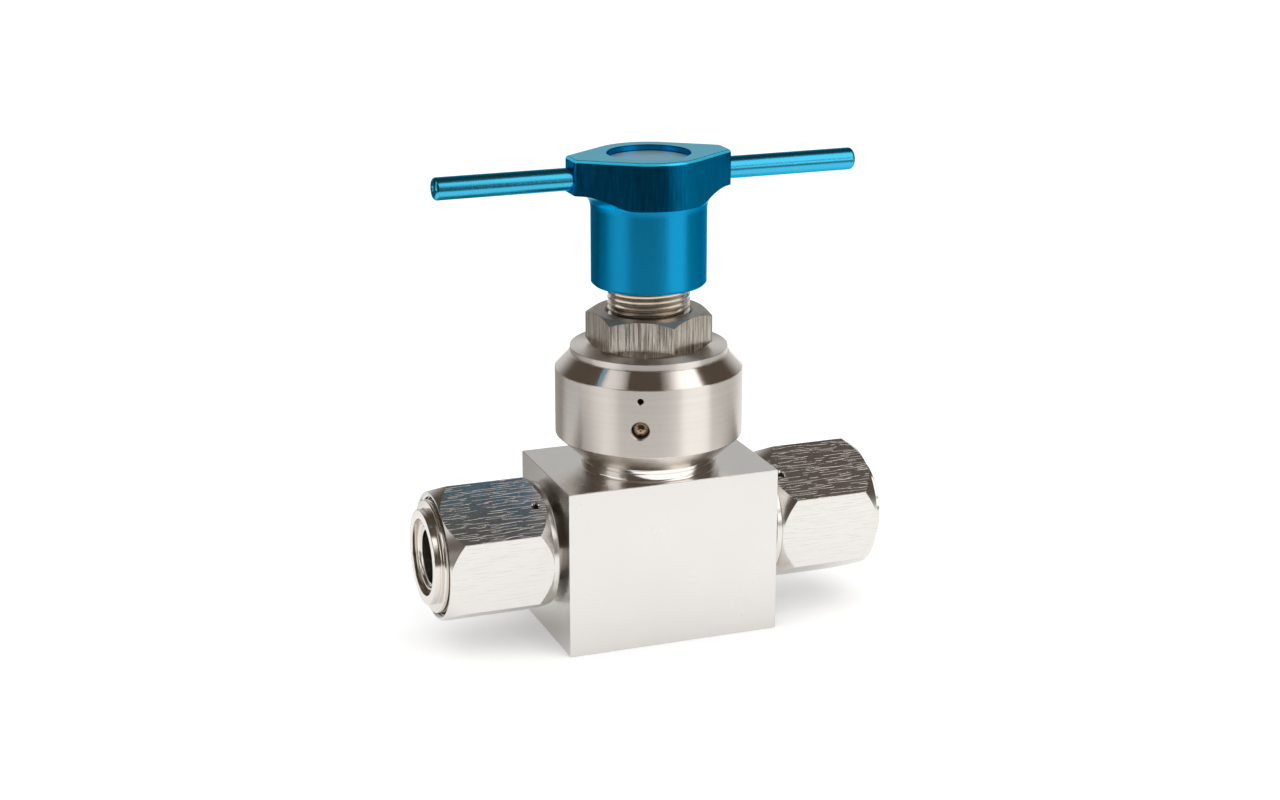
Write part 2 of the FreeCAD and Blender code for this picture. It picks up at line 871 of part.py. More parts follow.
def make_spindle():
    body = new_body("spindle")
    nose_base = f"({collar_base} - nose_length)"
    thread_base = f"({cap_top} + spindle_neck_clear)"
    journal_top = f"({hub_ceiling} + journal_height)"
    turned(body, "profile", [
        ("0", nose_base),
        ("nose_radius", nose_base),
        ("nose_radius", collar_base),
        ("collar_radius", collar_base),
        ("collar_radius", collar_top),
        ("spindle_neck_radius", collar_top),
        ("spindle_neck_radius", thread_base),
        ("spindle_radius", thread_base),
        ("spindle_radius", hub_ceiling),
        ("journal_radius", hub_ceiling),
        ("journal_radius", journal_top),
        ("0", journal_top),
    ])
    flat = new_sketch(body, "flat", "XY_Plane", offset=journal_top)
    cut_line = "(journal_radius - journal_flat)"
    far = "(journal_radius + 1)"
    add_outline(flat, [(f"-{far}", cut_line), (far, cut_line), (far, far), (f"-{far}", far)])
    extrude(body, "flat", flat, "journal_height - journal_flat", cut=True)
    return body


def plan_of_head(sketch):
    """Round middle joined by tangent sides to a narrow end face at each end."""
    reach = amount("head_reach")
    half = amount("facet_width / 2")
    radius = amount("head_radius")
    far = math.hypot(reach, half)
    touch = math.atan2(half, reach) + math.acos(radius / far)
    centre = FreeCAD.Vector(0, 0, 0)
    up = FreeCAD.Vector(0, 0, 1)

    def on_circle(turn):
        return FreeCAD.Vector(radius * math.cos(turn), radius * math.sin(turn), 0)

    right_low = FreeCAD.Vector(reach, -half, 0)
    right_high = FreeCAD.Vector(reach, half, 0)
    left_high = FreeCAD.Vector(-reach, half, 0)
    left_low = FreeCAD.Vector(-reach, -half, 0)
    circle = Part.Circle(centre, up, radius)
    shapes = [
        Part.LineSegment(right_low, right_high),
        Part.LineSegment(right_high, on_circle(touch)),
        Part.ArcOfCircle(circle, touch, math.pi - touch),
        Part.LineSegment(on_circle(math.pi - touch), left_high),
        Part.LineSegment(left_high, left_low),
        Part.LineSegment(left_low, on_circle(math.pi + touch)),
        Part.ArcOfCircle(circle, math.pi + touch, 2 * math.pi - touch),
        Part.LineSegment(on_circle(2 * math.pi - touch), right_low),
    ]
    for shape in shapes:
        sketch.addGeometry(shape, False)
    rules = [
        Sketcher.Constraint("Coincident", 0, 2, 1, 1),
        Sketcher.Constraint("Tangent", 1, 2, 2, 1),
        Sketcher.Constraint("Tangent", 2, 2, 3, 1),
        Sketcher.Constraint("Coincident", 3, 2, 4, 1),
        Sketcher.Constraint("Coincident", 4, 2, 5, 1),
        Sketcher.Constraint("Tangent", 5, 2, 6, 1),
        Sketcher.Constraint("Tangent", 6, 2, 7, 1),
        Sketcher.Constraint("Coincident", 7, 2, 0, 1),
        Sketcher.Constraint("Coincident", 2, 3, -1, 1),
        Sketcher.Constraint("Coincident", 6, 3, -1, 1),
    ]
    sketch.addConstraint(rules)
    hold_radius(sketch, 2, "head_radius")
    hold_radius(sketch, 6, "head_radius")
    half_text = "facet_width / 2"
    pin_point(sketch, 0, 1, "head_reach", f"-{half_text}")
    pin_point(sketch, 0, 2, "head_reach", half_text)
    pin_point(sketch, 4, 1, "-head_reach", half_text)
    pin_point(sketch, 4, 2, "-head_reach", f"-{half_text}")


def underside_of_head(sketch):
    """Everything turned away below the wings, up to a concave fillet."""
    skirt = amount("skirt_radius")
    fillet = amount("under_fillet")
    base = amount(skirt_base)
    wing = amount(head_base)
    outside = amount("head_reach + facet_width")
    start = wing - fillet
    centre = FreeCAD.Vector(skirt + fillet, start, 0)
    circle = Part.Circle(centre, FreeCAD.Vector(0, 0, 1), fillet)
    low_in = FreeCAD.Vector(skirt, base, 0)
    low_out = FreeCAD.Vector(outside, base, 0)
    high_out = FreeCAD.Vector(outside, wing, 0)
    high_in = FreeCAD.Vector(skirt + fillet, wing, 0)
    shapes = [
        Part.LineSegment(low_in, low_out),
        Part.LineSegment(low_out, high_out),
        Part.LineSegment(high_out, high_in),
        Part.ArcOfCircle(circle, math.pi / 2, math.pi),
        Part.LineSegment(FreeCAD.Vector(skirt, start, 0), low_in),
    ]
    for shape in shapes:
        sketch.addGeometry(shape, False)
    rules = [
        Sketcher.Constraint("Coincident", 0, 2, 1, 1),
        Sketcher.Constraint("Coincident", 1, 2, 2, 1),
        Sketcher.Constraint("Tangent", 2, 2, 3, 1),
        Sketcher.Constraint("Tangent", 3, 2, 4, 1),
        Sketcher.Constraint("Coincident", 4, 2, 0, 1),
        Sketcher.Constraint("Vertical", 4),
        Sketcher.Constraint("Horizontal", 2),
    ]
    sketch.addConstraint(rules)
    hold_radius(sketch, 3, "under_fillet")
    pin_point(sketch, 0, 1, "skirt_radius", skirt_base)
    pin_point(sketch, 0, 2, "head_reach + facet_width", skirt_base)
    pin_point(sketch, 1, 2, "head_reach + facet_width", head_base)


def make_handle_hub():
    body = new_body("handle_hub")
    plan = new_sketch(body, "plan", "XY_Plane", offset=skirt_base)
    plan_of_head(plan)
    blank = extrude(body, "blank", plan, "head_rise + head_height")
    reach = amount("head_reach")
    rounding = amount("head_edge")
    corners = soften(body, "facet_edges", blank,
                     lambda edge: near(abs(edge.BoundBox.XMin), reach) and edge.BoundBox.ZLength > rounding,
                     "facet_edge")
    top_level = amount(head_top)
    soften(body, "top_edge", corners,
           lambda edge: near(edge.BoundBox.ZMin, top_level) and near(edge.BoundBox.ZMax, top_level),
           "head_edge")
    under = new_sketch(body, "underside", "XZ_Plane")
    underside_of_head(under)
    skirt = revolve(body, "underside", under, "V_Axis", cut=True)
    base_level = amount(skirt_base)
    skirt_radius = amount("skirt_radius")
    soften(body, "skirt_edge", skirt,
           lambda edge: is_flat_ring(edge, base_level, skirt_radius), "skirt_edge", chamfer=True)
    bore = "(journal_radius + slip_gap)"
    cavity = "(post_radius + skirt_bore_gap)"
    bore_top = f"({hub_ceiling} + journal_height + hub_web_gap)"
    turned(body, "socket", [
        ("0", skirt_base), (cavity, skirt_base), (cavity, hub_ceiling),
        (bore, hub_ceiling), (bore, bore_top), ("0", bore_top),
    ], cut=True)
    recess_floor = f"({head_top} - recess_depth)"
    turned(body, "recess", [
        ("0", recess_floor), ("recess_radius", recess_floor), ("recess_radius", head_top), ("0", head_top),
    ], cut=True)
    drill(body, "bar_hole", "YZ_Plane", "0", bar_level, "bar_radius + slip_gap",
          "2 * head_reach + 2", offset="head_reach + 1")
    hole = "screw_radius + slip_gap"
    drill(body, "hub_screw_hole", "XZ_Plane", "0", hub_screw_level, hole, "head_radius + 1")
    drill(body, "bar_screw_hole", "XZ_Plane", "0", bar_level, hole, "head_radius + 1")
    return body


def make_handle_bar():
    body = new_body("handle_bar")
    end = "(bar_length / 2)"
    hole = "centre_hole_radius"
    bar = turned(body, "profile", [
        (f"-{end}", hole),
        (f"-{end}", "bar_radius"),
        (end, "bar_radius"),
        (end, hole),
        (f"{end} - centre_hole_depth", "0"),
        (f"-{end} + centre_hole_depth", "0"),
    ], along="X")
    radius = amount("bar_radius")

    def rim(edge):
        curve = edge.Curve
        return isinstance(curve, Part.Circle) and near(curve.Radius, radius)

    soften(body, "ends", bar, rim, "bar_edge")
    place(body, up=bar_level)
    return body


def make_set_screw(label, tip, level):
    """Socket set screw that points at the axis from the back."""
    body = new_body(label)
    turned(body, "profile", [
        ("0", "0"),
        ("screw_radius - screw_point", "0"),
        ("screw_radius", "screw_point"),
        ("screw_radius", "screw_length - block_edge"),
        ("screw_radius - block_edge", "screw_length"),
        ("0", "screw_length"),
    ])
    socket = new_sketch(body, "socket", "XY_Plane", offset="screw_length")
    add_outline(socket, hexagon("screw_socket"))
    extrude(body, "socket", socket, "screw_socket_depth", cut=True)
    place(body, back=tip, up=level, roll="-90")
    return body


# Build, check and write

make_valve_body()
make_gland("left_gland", "180")
make_gland("right_gland", "0")
make_port_nut("left_port_nut", "180", "-left_nut_roll")
make_port_nut("right_port_nut", "0", "right_nut_roll")
make_thrust_ring("left_thrust_ring", "180")
make_thrust_ring("right_thrust_ring", "0")
make_union_nut()
make_lock_screw()
make_bonnet()
make_gasket()
make_bellows_ring()
make_guide_bushing()
make_stem_nut()
make_stem_o_ring()
make_panel_nut()
make_bellows()
make_lower_stem()
make_valve_disc()
make_seat_insert()
make_stem_coupling()
make_coupling_cap()
make_anti_rotation_pin()
make_race("lower_race", cup_floor)
make_race("upper_race", upper_race_base)
make_thrust_balls()
make_spindle()
make_handle_hub()
make_handle_bar()
make_set_screw("hub_set_screw", "journal_radius - journal_flat + slip_gap", hub_screw_level)
make_set_screw("bar_set_screw", "bar_radius + slip_gap", bar_level)
doc.recompute()

for item in doc.Objects:
    if {"Invalid", "Error"} & set(item.State):
        raise ValueError(f"{item.Label} is {item.State}")
for part in sub_parts:
    if part.Shape.isNull() or not part.Shape.isValid():
        raise ValueError(f"{part.Label} has no valid shape")

os.makedirs("parts", exist_ok=True)
for part in sub_parts:
    part.Shape.exportStep(os.path.join("parts", f"{part.Label}.step"))
    box = part.Shape.BoundBox
    print(f"{part.Label:20s} solids {len(part.Shape.Solids):2d} volume {part.Shape.Volume:10.1f} "
          f"x {box.XMin:7.2f} {box.XMax:7.2f} y {box.YMin:7.2f} {box.YMax:7.2f} "
          f"z {box.ZMin:7.2f} {box.ZMax:7.2f}")
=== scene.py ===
import math

import bmesh
import bpy
from mathutils import Matrix, Vector


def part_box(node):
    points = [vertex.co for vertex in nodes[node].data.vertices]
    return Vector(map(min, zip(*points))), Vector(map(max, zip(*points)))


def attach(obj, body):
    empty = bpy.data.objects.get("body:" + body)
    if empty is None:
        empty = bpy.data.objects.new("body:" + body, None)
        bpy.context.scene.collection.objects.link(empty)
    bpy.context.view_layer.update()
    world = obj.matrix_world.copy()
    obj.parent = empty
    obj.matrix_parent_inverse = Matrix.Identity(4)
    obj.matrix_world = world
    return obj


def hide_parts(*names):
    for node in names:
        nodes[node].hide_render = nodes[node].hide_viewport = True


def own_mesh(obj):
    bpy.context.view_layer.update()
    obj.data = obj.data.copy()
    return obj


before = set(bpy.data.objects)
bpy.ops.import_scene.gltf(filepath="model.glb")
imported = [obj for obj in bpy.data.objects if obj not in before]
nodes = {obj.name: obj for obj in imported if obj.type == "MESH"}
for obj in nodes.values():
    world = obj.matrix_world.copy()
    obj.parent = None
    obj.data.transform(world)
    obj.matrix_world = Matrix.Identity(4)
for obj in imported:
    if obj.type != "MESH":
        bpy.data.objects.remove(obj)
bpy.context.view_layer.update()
mm = 0.001
fullTurn = 2 * math.pi
print("stage: frame loaded,", len(nodes), "nodes")


# Sizes read from the frame, in millimetres

def low(node, axis):
    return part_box(node)[0][axis] / mm


def high(node, axis):
    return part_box(node)[1][axis] / mm


portHeight = (low("right_gland", 2) + high("right_gland", 2)) / 2
neckTop = high("valve_body", 2)
unionBase = low("union_nut", 2)
unionTop = high("union_nut", 2)
panelTop = high("panel_nut", 2)
hubBase = low("handle_hub", 2)
hubTop = high("handle_hub", 2)
barLevel = (low("handle_bar", 2) + high("handle_bar", 2)) / 2


# Mesh helpers: all lengths in millimetres until a piece is finished

weld = 1e-4  # points nearer than this become one
threadWeld = 1e-3
speck = 1e-5  # anything smaller than this goes
over = 1  # how far a cutter reaches past the face that it cuts
sharpAngle = math.radians(25)
threadForm = [(0, 0), (0, 0.16), (1, 0.49), (1, 0.67), (0, 1)]  # share of the depth, share of the pitch
alongX = Matrix.Rotation(math.pi / 2, 4, "Y")  # a piece drawn up Z lies along +X


def turnX(angle):
    return Matrix.Rotation(math.radians(angle), 4, "X")


def turnZ(angle):
    return Matrix.Rotation(math.radians(angle), 4, "Z")


def shift(x=0.0, y=0.0, z=0.0):
    return Matrix.Translation((x, y, z))


def place(bm, *matrices):
    for matrix in matrices:
        bmesh.ops.transform(bm, matrix=matrix, verts=bm.verts)
    return bm


def direction(azimuth, elevation):
    a, e = math.radians(azimuth), math.radians(elevation)
    return Vector((math.cos(a) * math.cos(e), math.sin(a) * math.cos(e), math.sin(e)))


def soften(bm, width, segments=2, wanted=None):
    # rounds the sharp edges, or those of them that are wanted
    sharp = [side for side in bm.edges if len(side.link_faces) == 2 and side.calc_face_angle(0) > sharpAngle]
    if wanted:
        sharp = [side for side in sharp if wanted(side)]
    bmesh.ops.bevel(bm, geom=sharp, offset=width, offset_type="OFFSET", segments=segments, profile=0.5,
                    affect="EDGES", clamp_overlap=True, material=-1, loop_slide=True)
    return bm


def isUpright(side):
    return abs(side.verts[0].co.z - side.verts[1].co.z) > 1


def swept(outline, steps, closed=True, turns=1, rise=0.0):
    # an outline of (radius, level) turned about Z, rising a little at each step for a thread
    bm = bmesh.new()
    points = [bm.verts.new((radius, 0, level)) for radius, level in outline]
    sides = [bm.edges.new((points[i - 1], points[i])) for i in range(0 if closed else 1, len(points))]
    bmesh.ops.spin(bm, geom=points + sides, cent=(0, 0, 0), axis=(0, 0, 1), dvec=(0, 0, rise),
                   angle=fullTurn * turns, steps=steps * turns, use_merge=not rise, use_duplicate=False)
    return bm


def spun(outline, steps=144, edge=0.0, edgeSteps=2):
    # a closed, turned solid
    bm = swept(outline, steps)
    bmesh.ops.remove_doubles(bm, verts=bm.verts, dist=weld)
    bmesh.ops.dissolve_degenerate(bm, edges=bm.edges, dist=speck)
    bmesh.ops.delete(bm, geom=[side for side in bm.edges if not side.link_faces], context="EDGES")
    bmesh.ops.recalc_face_normals(bm, faces=bm.faces)
    if edge:
        soften(bm, edge, edgeSteps)
    return bm


def quarter(radius, level, out, rise, steps):
    # points of an arc from (radius + out, level) to (radius, level + rise)
    angles = [step * math.pi / (2 * steps) for step in range(steps + 1)]
    return [(radius + out * (1 - math.sin(angle)), level + rise * (1 - math.cos(angle))) for angle in angles]


def levelEnds(bm, base, top, capped):
    # takes away what lies below the base and above the top
    for level, side in ((base, -1), (top, 1)):
        everything = bm.verts[:] + bm.edges[:] + bm.faces[:]
        bmesh.ops.bisect_plane(bm, geom=everything, plane_co=(0, 0, level), plane_no=(0, 0, side),
                               clear_outer=True, dist=speck)
        if capped:
            rim = [side for side in bm.edges
                   if side.is_boundary and all(abs(end.co.z - level) < threadWeld for end in side.verts)]
            bmesh.ops.edgenet_fill(bm, edges=rim)
    bmesh.ops.recalc_face_normals(bm, faces=bm.faces)
    return bm


def threadRod(major, minor, pitch, base, top, steps):
    # one pitch of the thread's outline wound upwards, from below the base to above the top
    start = base - 1.5 * pitch
    turns = math.ceil((top - base) / pitch) + 3
    outline = [(major if crest else minor, start + share * pitch) for crest, share in threadForm]
    bm = swept(outline, steps, closed=False, turns=turns, rise=pitch / steps)
    bmesh.ops.remove_doubles(bm, verts=bm.verts, dist=threadWeld)
    return levelEnds(bm, base, top, capped=True)


def box(lowCorner, highCorner):
    bm = bmesh.new()
    bmesh.ops.create_cube(bm, size=1.0)
    size = [last - first for first, last in zip(lowCorner, highCorner)]
    middle = [(last + first) / 2 for first, last in zip(lowCorner, highCorner)]
    bmesh.ops.scale(bm, vec=size, verts=bm.verts)
    bmesh.ops.translate(bm, vec=middle, verts=bm.verts)
    return bm


def hexPrism(flats, base, top):
    # flats face along X, corners along Y
    bm = bmesh.new()
    bmesh.ops.create_circle(bm, cap_ends=True, radius=flats / math.sqrt(3), segments=6)
    raised = bmesh.ops.extrude_face_region(bm, geom=bm.faces[:])
    lifted = [item for item in raised["geom"] if isinstance(item, bmesh.types.BMVert)]
    bmesh.ops.translate(bm, verts=lifted, vec=(0, 0, top - base))
    bmesh.ops.translate(bm, verts=bm.verts, vec=(0, 0, base))
    bmesh.ops.recalc_face_normals(bm, faces=bm.faces)
    return bm


def combined(first, second, operation="DIFFERENCE"):
    # boolean of two closed meshes, through Blender's modifier
    things = []
    for bm in (first, second):
        mesh = bpy.data.meshes.new("work")
        bm.to_mesh(mesh)
        bm.free()
        thing = bpy.data.objects.new("work", mesh)
        bpy.context.scene.collection.objects.link(thing)
        things.append(thing)
    modifier = things[0].modifiers.new("combine", "BOOLEAN")
    modifier.operation = operation
    modifier.solver = "MANIFOLD"
    modifier.object = things[1]
    graph = bpy.context.evaluated_depsgraph_get()
    result = bpy.data.meshes.new_from_object(things[0].evaluated_get(graph))
    bm = bmesh.new()
    bm.from_mesh(result)
    bpy.data.meshes.remove(result)
    for thing in things:
        mesh = thing.data
        bpy.data.objects.remove(thing)
        bpy.data.meshes.remove(mesh)
    bmesh.ops.remove_doubles(bm, verts=bm.verts, dist=speck)
    bmesh.ops.dissolve_degenerate(bm, edges=bm.edges, dist=speck)
    return bm


def bored(solid, outline, steps, *matrices):
    # takes a turned shape out of a solid
    return combined(solid, place(spun(outline, steps), *matrices))


def hexBlank(nut, base, top):
    # a hexagon with softened corners and its ends turned to a cone
    half = nut["flats"] / 2
    corner = nut["flats"] / math.sqrt(3) - half
    outer, rise = half + corner * nut["coneReach"], nut["chamfer"] * nut["coneReach"]
    cone = [(0, base), (half, base), (outer, base + rise), (outer, top - rise), (half, top), (0, top)]
    prism = soften(hexPrism(nut["flats"], base, top), nut["cornerEdge"], 2, isUpright)
    return combined(prism, spun(cone, nut["coneSteps"]), "INTERSECT")


def marked(bm, name, wanted):
    # notes on each face how far the test holds, for the material to read
    layer = bm.faces.layers.float.new(name)
    bm.normal_update()
    for face in bm.faces:
        face[layer] = float(wanted(face.calc_center_median(), face.normal))
    return bm


def isFlat(distance, error=0.02):
    return lambda middle, normal: abs(normal.dot(middle) - distance) < error


def inHole(start, along, radius):
    # inside a drilled hole that starts at a point and runs inwards
    def test(middle, normal):
        offset = middle - start
        return offset.dot(along) > 0 and (offset - along * offset.dot(along)).length < radius
    return test


def finished(name, bm, material, body, replaced, smoothAngle=20):
    # scaled to metres, smooth but for its creases and flats, and seated on a CAD body
    volume = bm.calc_volume()
    bmesh.ops.scale(bm, vec=(mm, mm, mm), verts=bm.verts)
    mesh = bpy.data.meshes.new(name)
    bm.to_mesh(mesh)
    bm.free()
    mesh.shade_smooth()
    mesh.set_sharp_from_angle(angle=math.radians(smoothAngle))
    mesh.materials.append(material)
    piece = bpy.data.objects.new(name, mesh)
    bpy.context.scene.collection.objects.link(piece)
    normals = piece.modifiers.new("flatNormals", "WEIGHTED_NORMAL")
    normals.keep_sharp = True
    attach(piece, body)
    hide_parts(replaced)
    print("stage:", name, len(mesh.vertices), "points,", round(volume), "cubic millimetres")
    return piece


# Materials: what varies is worked out from object coordinates in millimetres

everywhere = 1000.0
# painted shade: a dark colour painted on faces inside drilled holes and in thread roots, standing in for the shade
# there
paintedShade = {"colour": (0.10, 0.08, 0.06), "share": 0.95, "rootShare": 0.4}


class Wire:
    # one shader value that can be added, multiplied and so on

    def __init__(self, paint, socket):
        self.paint = paint
        self.socket = socket

    def math(self, operation, first, second):
        return self.paint.node("Math", {"operation": operation}, {0: first, 1: second})

    def __add__(self, other):
        return self.math("ADD", self, other)

    def __radd__(self, other):
        return self.math("ADD", other, self)

    def __sub__(self, other):
        return self.math("SUBTRACT", self, other)

    def __rsub__(self, other):
        return self.math("SUBTRACT", other, self)

    def __mul__(self, other):
        return self.math("MULTIPLY", self, other)

    def __rmul__(self, other):
        return self.math("MULTIPLY", other, self)

    def __pow__(self, other):
        return self.math("POWER", self, other)

    def __rpow__(self, other):
        return self.math("POWER", other, self)

    def between(self, start, end):
        return self.math("GREATER_THAN", self, start) * self.math("LESS_THAN", self, end)

    def beside(self, output):
        # another output of the same node
        return Wire(self.paint, self.socket.node.outputs[output])


class Paint:
    # one material, and the one way to add a node to it

    def __init__(self, name, tree=None):
        if tree is None:
            self.material = bpy.data.materials.new(name)
            self.material.use_nodes = True
            tree = self.material.node_tree
        self.tree = tree
        self.tree.nodes.clear()

    def node(self, kind, settings=None, values=None, output=0):
        made = self.tree.nodes.new("ShaderNode" + kind)
        for key, value in (settings or {}).items():
            if key == "stops":
                self.setStops(made.color_ramp.elements, value)
            else:
                setattr(made, key, value)
        for key, value in (values or {}).items():
            if isinstance(value, Wire):
                self.tree.links.new(value.socket, made.inputs[key])
            else:
                made.inputs[key].default_value = value
        return Wire(self, made.outputs[output]) if made.outputs else None

    def setStops(self, elements, stops):
        for index, (where, shade) in enumerate(stops):
            stop = elements[index] if index < 2 else elements.new(where)
            stop.position = where
            stop.color = (shade, shade, shade, 1)

    def millimetres(self):
        spot = self.node("TexCoord", output="Object")
        return self.node("VectorMath", {"operation": "SCALE"}, {0: spot, "Scale": 1 / mm})

    def parts(self, vector):
        first = self.node("SeparateXYZ", values={0: vector})
        return [first.beside(index) for index in range(3)]

    def noise(self, vector, scale, detail=2.0, stretch=(1, 1, 1), start=(0, 0, 0)):
        placed = self.node("Mapping", values={"Vector": vector, "Scale": stretch, "Location": start})
        return self.node("TexNoise", values={"Vector": placed, "Scale": scale, "Detail": detail,
                                             "Roughness": 0.5})

    def rings(self, track, scale, detail, roughness=0.5):
        # noise along one direction only
        return self.node("TexNoise", {"noise_dimensions": "1D"},
                         {"W": track, "Scale": scale, "Detail": detail, "Roughness": roughness})

    def bump(self, height, strength, distance=0.05):
        return self.node("Bump", values={"Height": height, "Strength": strength, "Distance": distance * mm})

    def noted(self, name):
        # what marked() wrote on the faces
        return self.node("Attribute", {"attribute_name": name}, output="Fac")

    def eased(self, value, start, end):
        return self.node("MapRange", {"interpolation_type": "SMOOTHSTEP"},
                         {"Value": value, "From Min": start, "From Max": end})

    def mixed(self, factor, *colours):
        first, second = [one if isinstance(one, Wire) else (*one, 1) for one in colours]
        return self.node("Mix", {"data_type": "RGBA"}, {0: factor, 6: first, 7: second}, output=2)

    def principled(self, **values):
        return self.node("BsdfPrincipled", values={key.replace("_", " "): value for key, value in values.items()})

    def surface(self, **values):
        self.node("OutputMaterial", values={"Surface": self.principled(**values)})
        return self.material


turning = {"radial": 0.93, "axial": 1.07, "lineDetail": 3.0, "lineRoughness": 0.65, "bandScale": 0.55,
           "cloudScale": 0.11, "bandShare": 0.6, "brushTurn": 0.25}


def turnedMetal(name, look):
    # circular tool lines that follow the turning axis, Z or X
    t = turning
    paint = Paint(name)
    spot = paint.node("VectorMath", {"operation": "SUBTRACT"},
                      {0: paint.millimetres(), 1: look.get("centre", (0, 0, 0))})
    x, y, z = paint.parts(spot)
    across, along = ((x, y), z) if look.get("axis", "Z") == "Z" else ((y, z), x)
    radius = (across[0] * across[0] + across[1] * across[1]) ** 0.5
    track = radius * t["radial"] + along * t["axial"]
    lines = paint.rings(track, look["lines"], t["lineDetail"], t["lineRoughness"])
    bands = paint.rings(track, t["bandScale"], 1.0)
    cloud = paint.noise(spot, t["cloudScale"], detail=3.0)
    rough = look["rough"] + (lines - 0.5) * look["roughLines"] + (cloud - 0.5) * look["roughCloud"]
    for start, end in look.get("polished", ()):
        rough = rough - along.between(start, end) * look["polish"]
    shade = paint.mixed(bands * t["bandShare"] + cloud * (1 - t["bandShare"]), look["dark"], look["light"])
    # painted shade: faces marked as inside a hole get the dark colour
    paintedShadeShare = paint.noted("holes") * paintedShade["share"]
    # painted shade: the thread roots get the dark colour too
    if "roots" in look:
        paintedShadeShare = paintedShadeShare + radius.between(*look["roots"]) * paintedShade["rootShare"]
    return paint.surface(Base_Color=paint.mixed(paintedShadeShare, shade, paintedShade["colour"]), Metallic=1.0, Roughness=rough,
                         Normal=paint.bump(lines, look["bump"]), Anisotropic=look.get("drawn", 0.0),
                         Anisotropic_Rotation=t["brushTurn"])


steelColours = {"dark": (0.74, 0.695, 0.64), "light": (0.81, 0.765, 0.71)}
satinSteel = turnedMetal("satinTurnedSteel", {
    "lines": 5.0, "rough": 0.35, "roughLines": 0.04, "roughCloud": 0.05, "bump": 0.04, "drawn": 0.99,
    "polish": 0.21, "polished": [(unionBase, 73.5), (98.2, 103.6)],
    "dark": (0.82, 0.77, 0.71), "light": (0.92, 0.87, 0.81)})
# painted shade: the thread roots, between radius 13.6 and 14.15, are darkened
postSteel = turnedMetal("threadedPostSteel", {
    "lines": 4.0, "rough": 0.12, "roughLines": 0.04, "roughCloud": 0.03, "bump": 0.04, "roots": (13.6, 14.15),
    "dark": (0.74, 0.67, 0.58), "light": (0.90, 0.84, 0.76)})
brightSteel = turnedMetal("brightTurnedSteel", {
    "lines": 4.0, "rough": 0.17, "roughLines": 0.06, "roughCloud": 0.05, "bump": 0.10, "drawn": 0.5,
    **steelColours})
glandSteel = turnedMetal("glandSteel", {
    "axis": "X", "centre": (0, 0, portHeight), "lines": 4.0, "rough": 0.17, "roughLines": 0.07,
    "roughCloud": 0.06, "bump": 0.12, **steelColours})


def milledMetal(name, look):
    # flats with cutter marks drawn out along one direction
    paint = Paint(name)
    spot = paint.millimetres()
    flats = paint.noted("flats")
    marks = paint.noise(spot, look["scale"], detail=look["detail"], stretch=look["stretch"])
    patches = paint.noise(spot, look["patches"], detail=1.0, start=(5, 2, 8)) - 0.5
    fine = paint.noise(spot, look["scale"] * 3, detail=3.0, stretch=look["stretch"], start=(3, 1, 2))
    dashes = paint.node("ValToRGB", {"stops": look["stops"]}, {"Fac": marks + patches * look["broken"]})
    rough = look["rough"] + (dashes + fine) * look["roughMarks"] * flats + (1 - flats) * look["turnedRough"]
    tone = fine * (1 - flats * look["streak"]) + dashes * flats * look["streak"]
    shade = paint.mixed(tone, look["dark"], look["light"])
    # painted shade: faces marked as inside the test hole get the dark colour
    return paint.surface(Base_Color=paint.mixed(paint.noted("holes") * paintedShade["share"], shade, paintedShade["colour"]),
                         Metallic=1.0, Roughness=rough,
                         Normal=paint.bump((dashes + fine * look["fine"]) * flats, look["bump"], 0.2))


nutSteel = milledMetal("milledNutSteel", {
    "scale": 2.0, "stretch": (0.06, 1.0, 1.0), "detail": 0.2, "fine": 0.03, "patches": 0.45, "broken": 0.2,
    "stops": [(0.56, 0.0), (0.64, 1.0)], "bump": 0.3, "rough": 0.22, "roughMarks": 0.06, "streak": 0.0,
    "turnedRough": 0.0, "dark": (0.74, 0.70, 0.66), "light": (0.84, 0.82, 0.79)})
panelSteel = milledMetal("milledPanelNutSteel", {
    "scale": 1.7, "stretch": (1.0, 1.0, 0.03), "detail": 2.0, "fine": 0.2, "patches": 0.45, "broken": 0.0,
    "stops": [(0.42, 0.0), (0.58, 1.0)], "bump": 0.42, "rough": 0.12, "roughMarks": 0.06, "streak": 0.75,
    "turnedRough": 0.36, "dark": (0.36, 0.31, 0.25), "light": (0.84, 0.79, 0.71)})


# Depths below the hub's top and radii that bound its faces: the matt top and recess floor, painted paler as a
# sheen, and the band on the rounded top edge, painted as a highlight
headZones = {"top": 0.05, "floor": (2.4, 0.1), "floorRadius": 14.5, "rim": (0.95, 0.15), "rimRadius": 15.3}


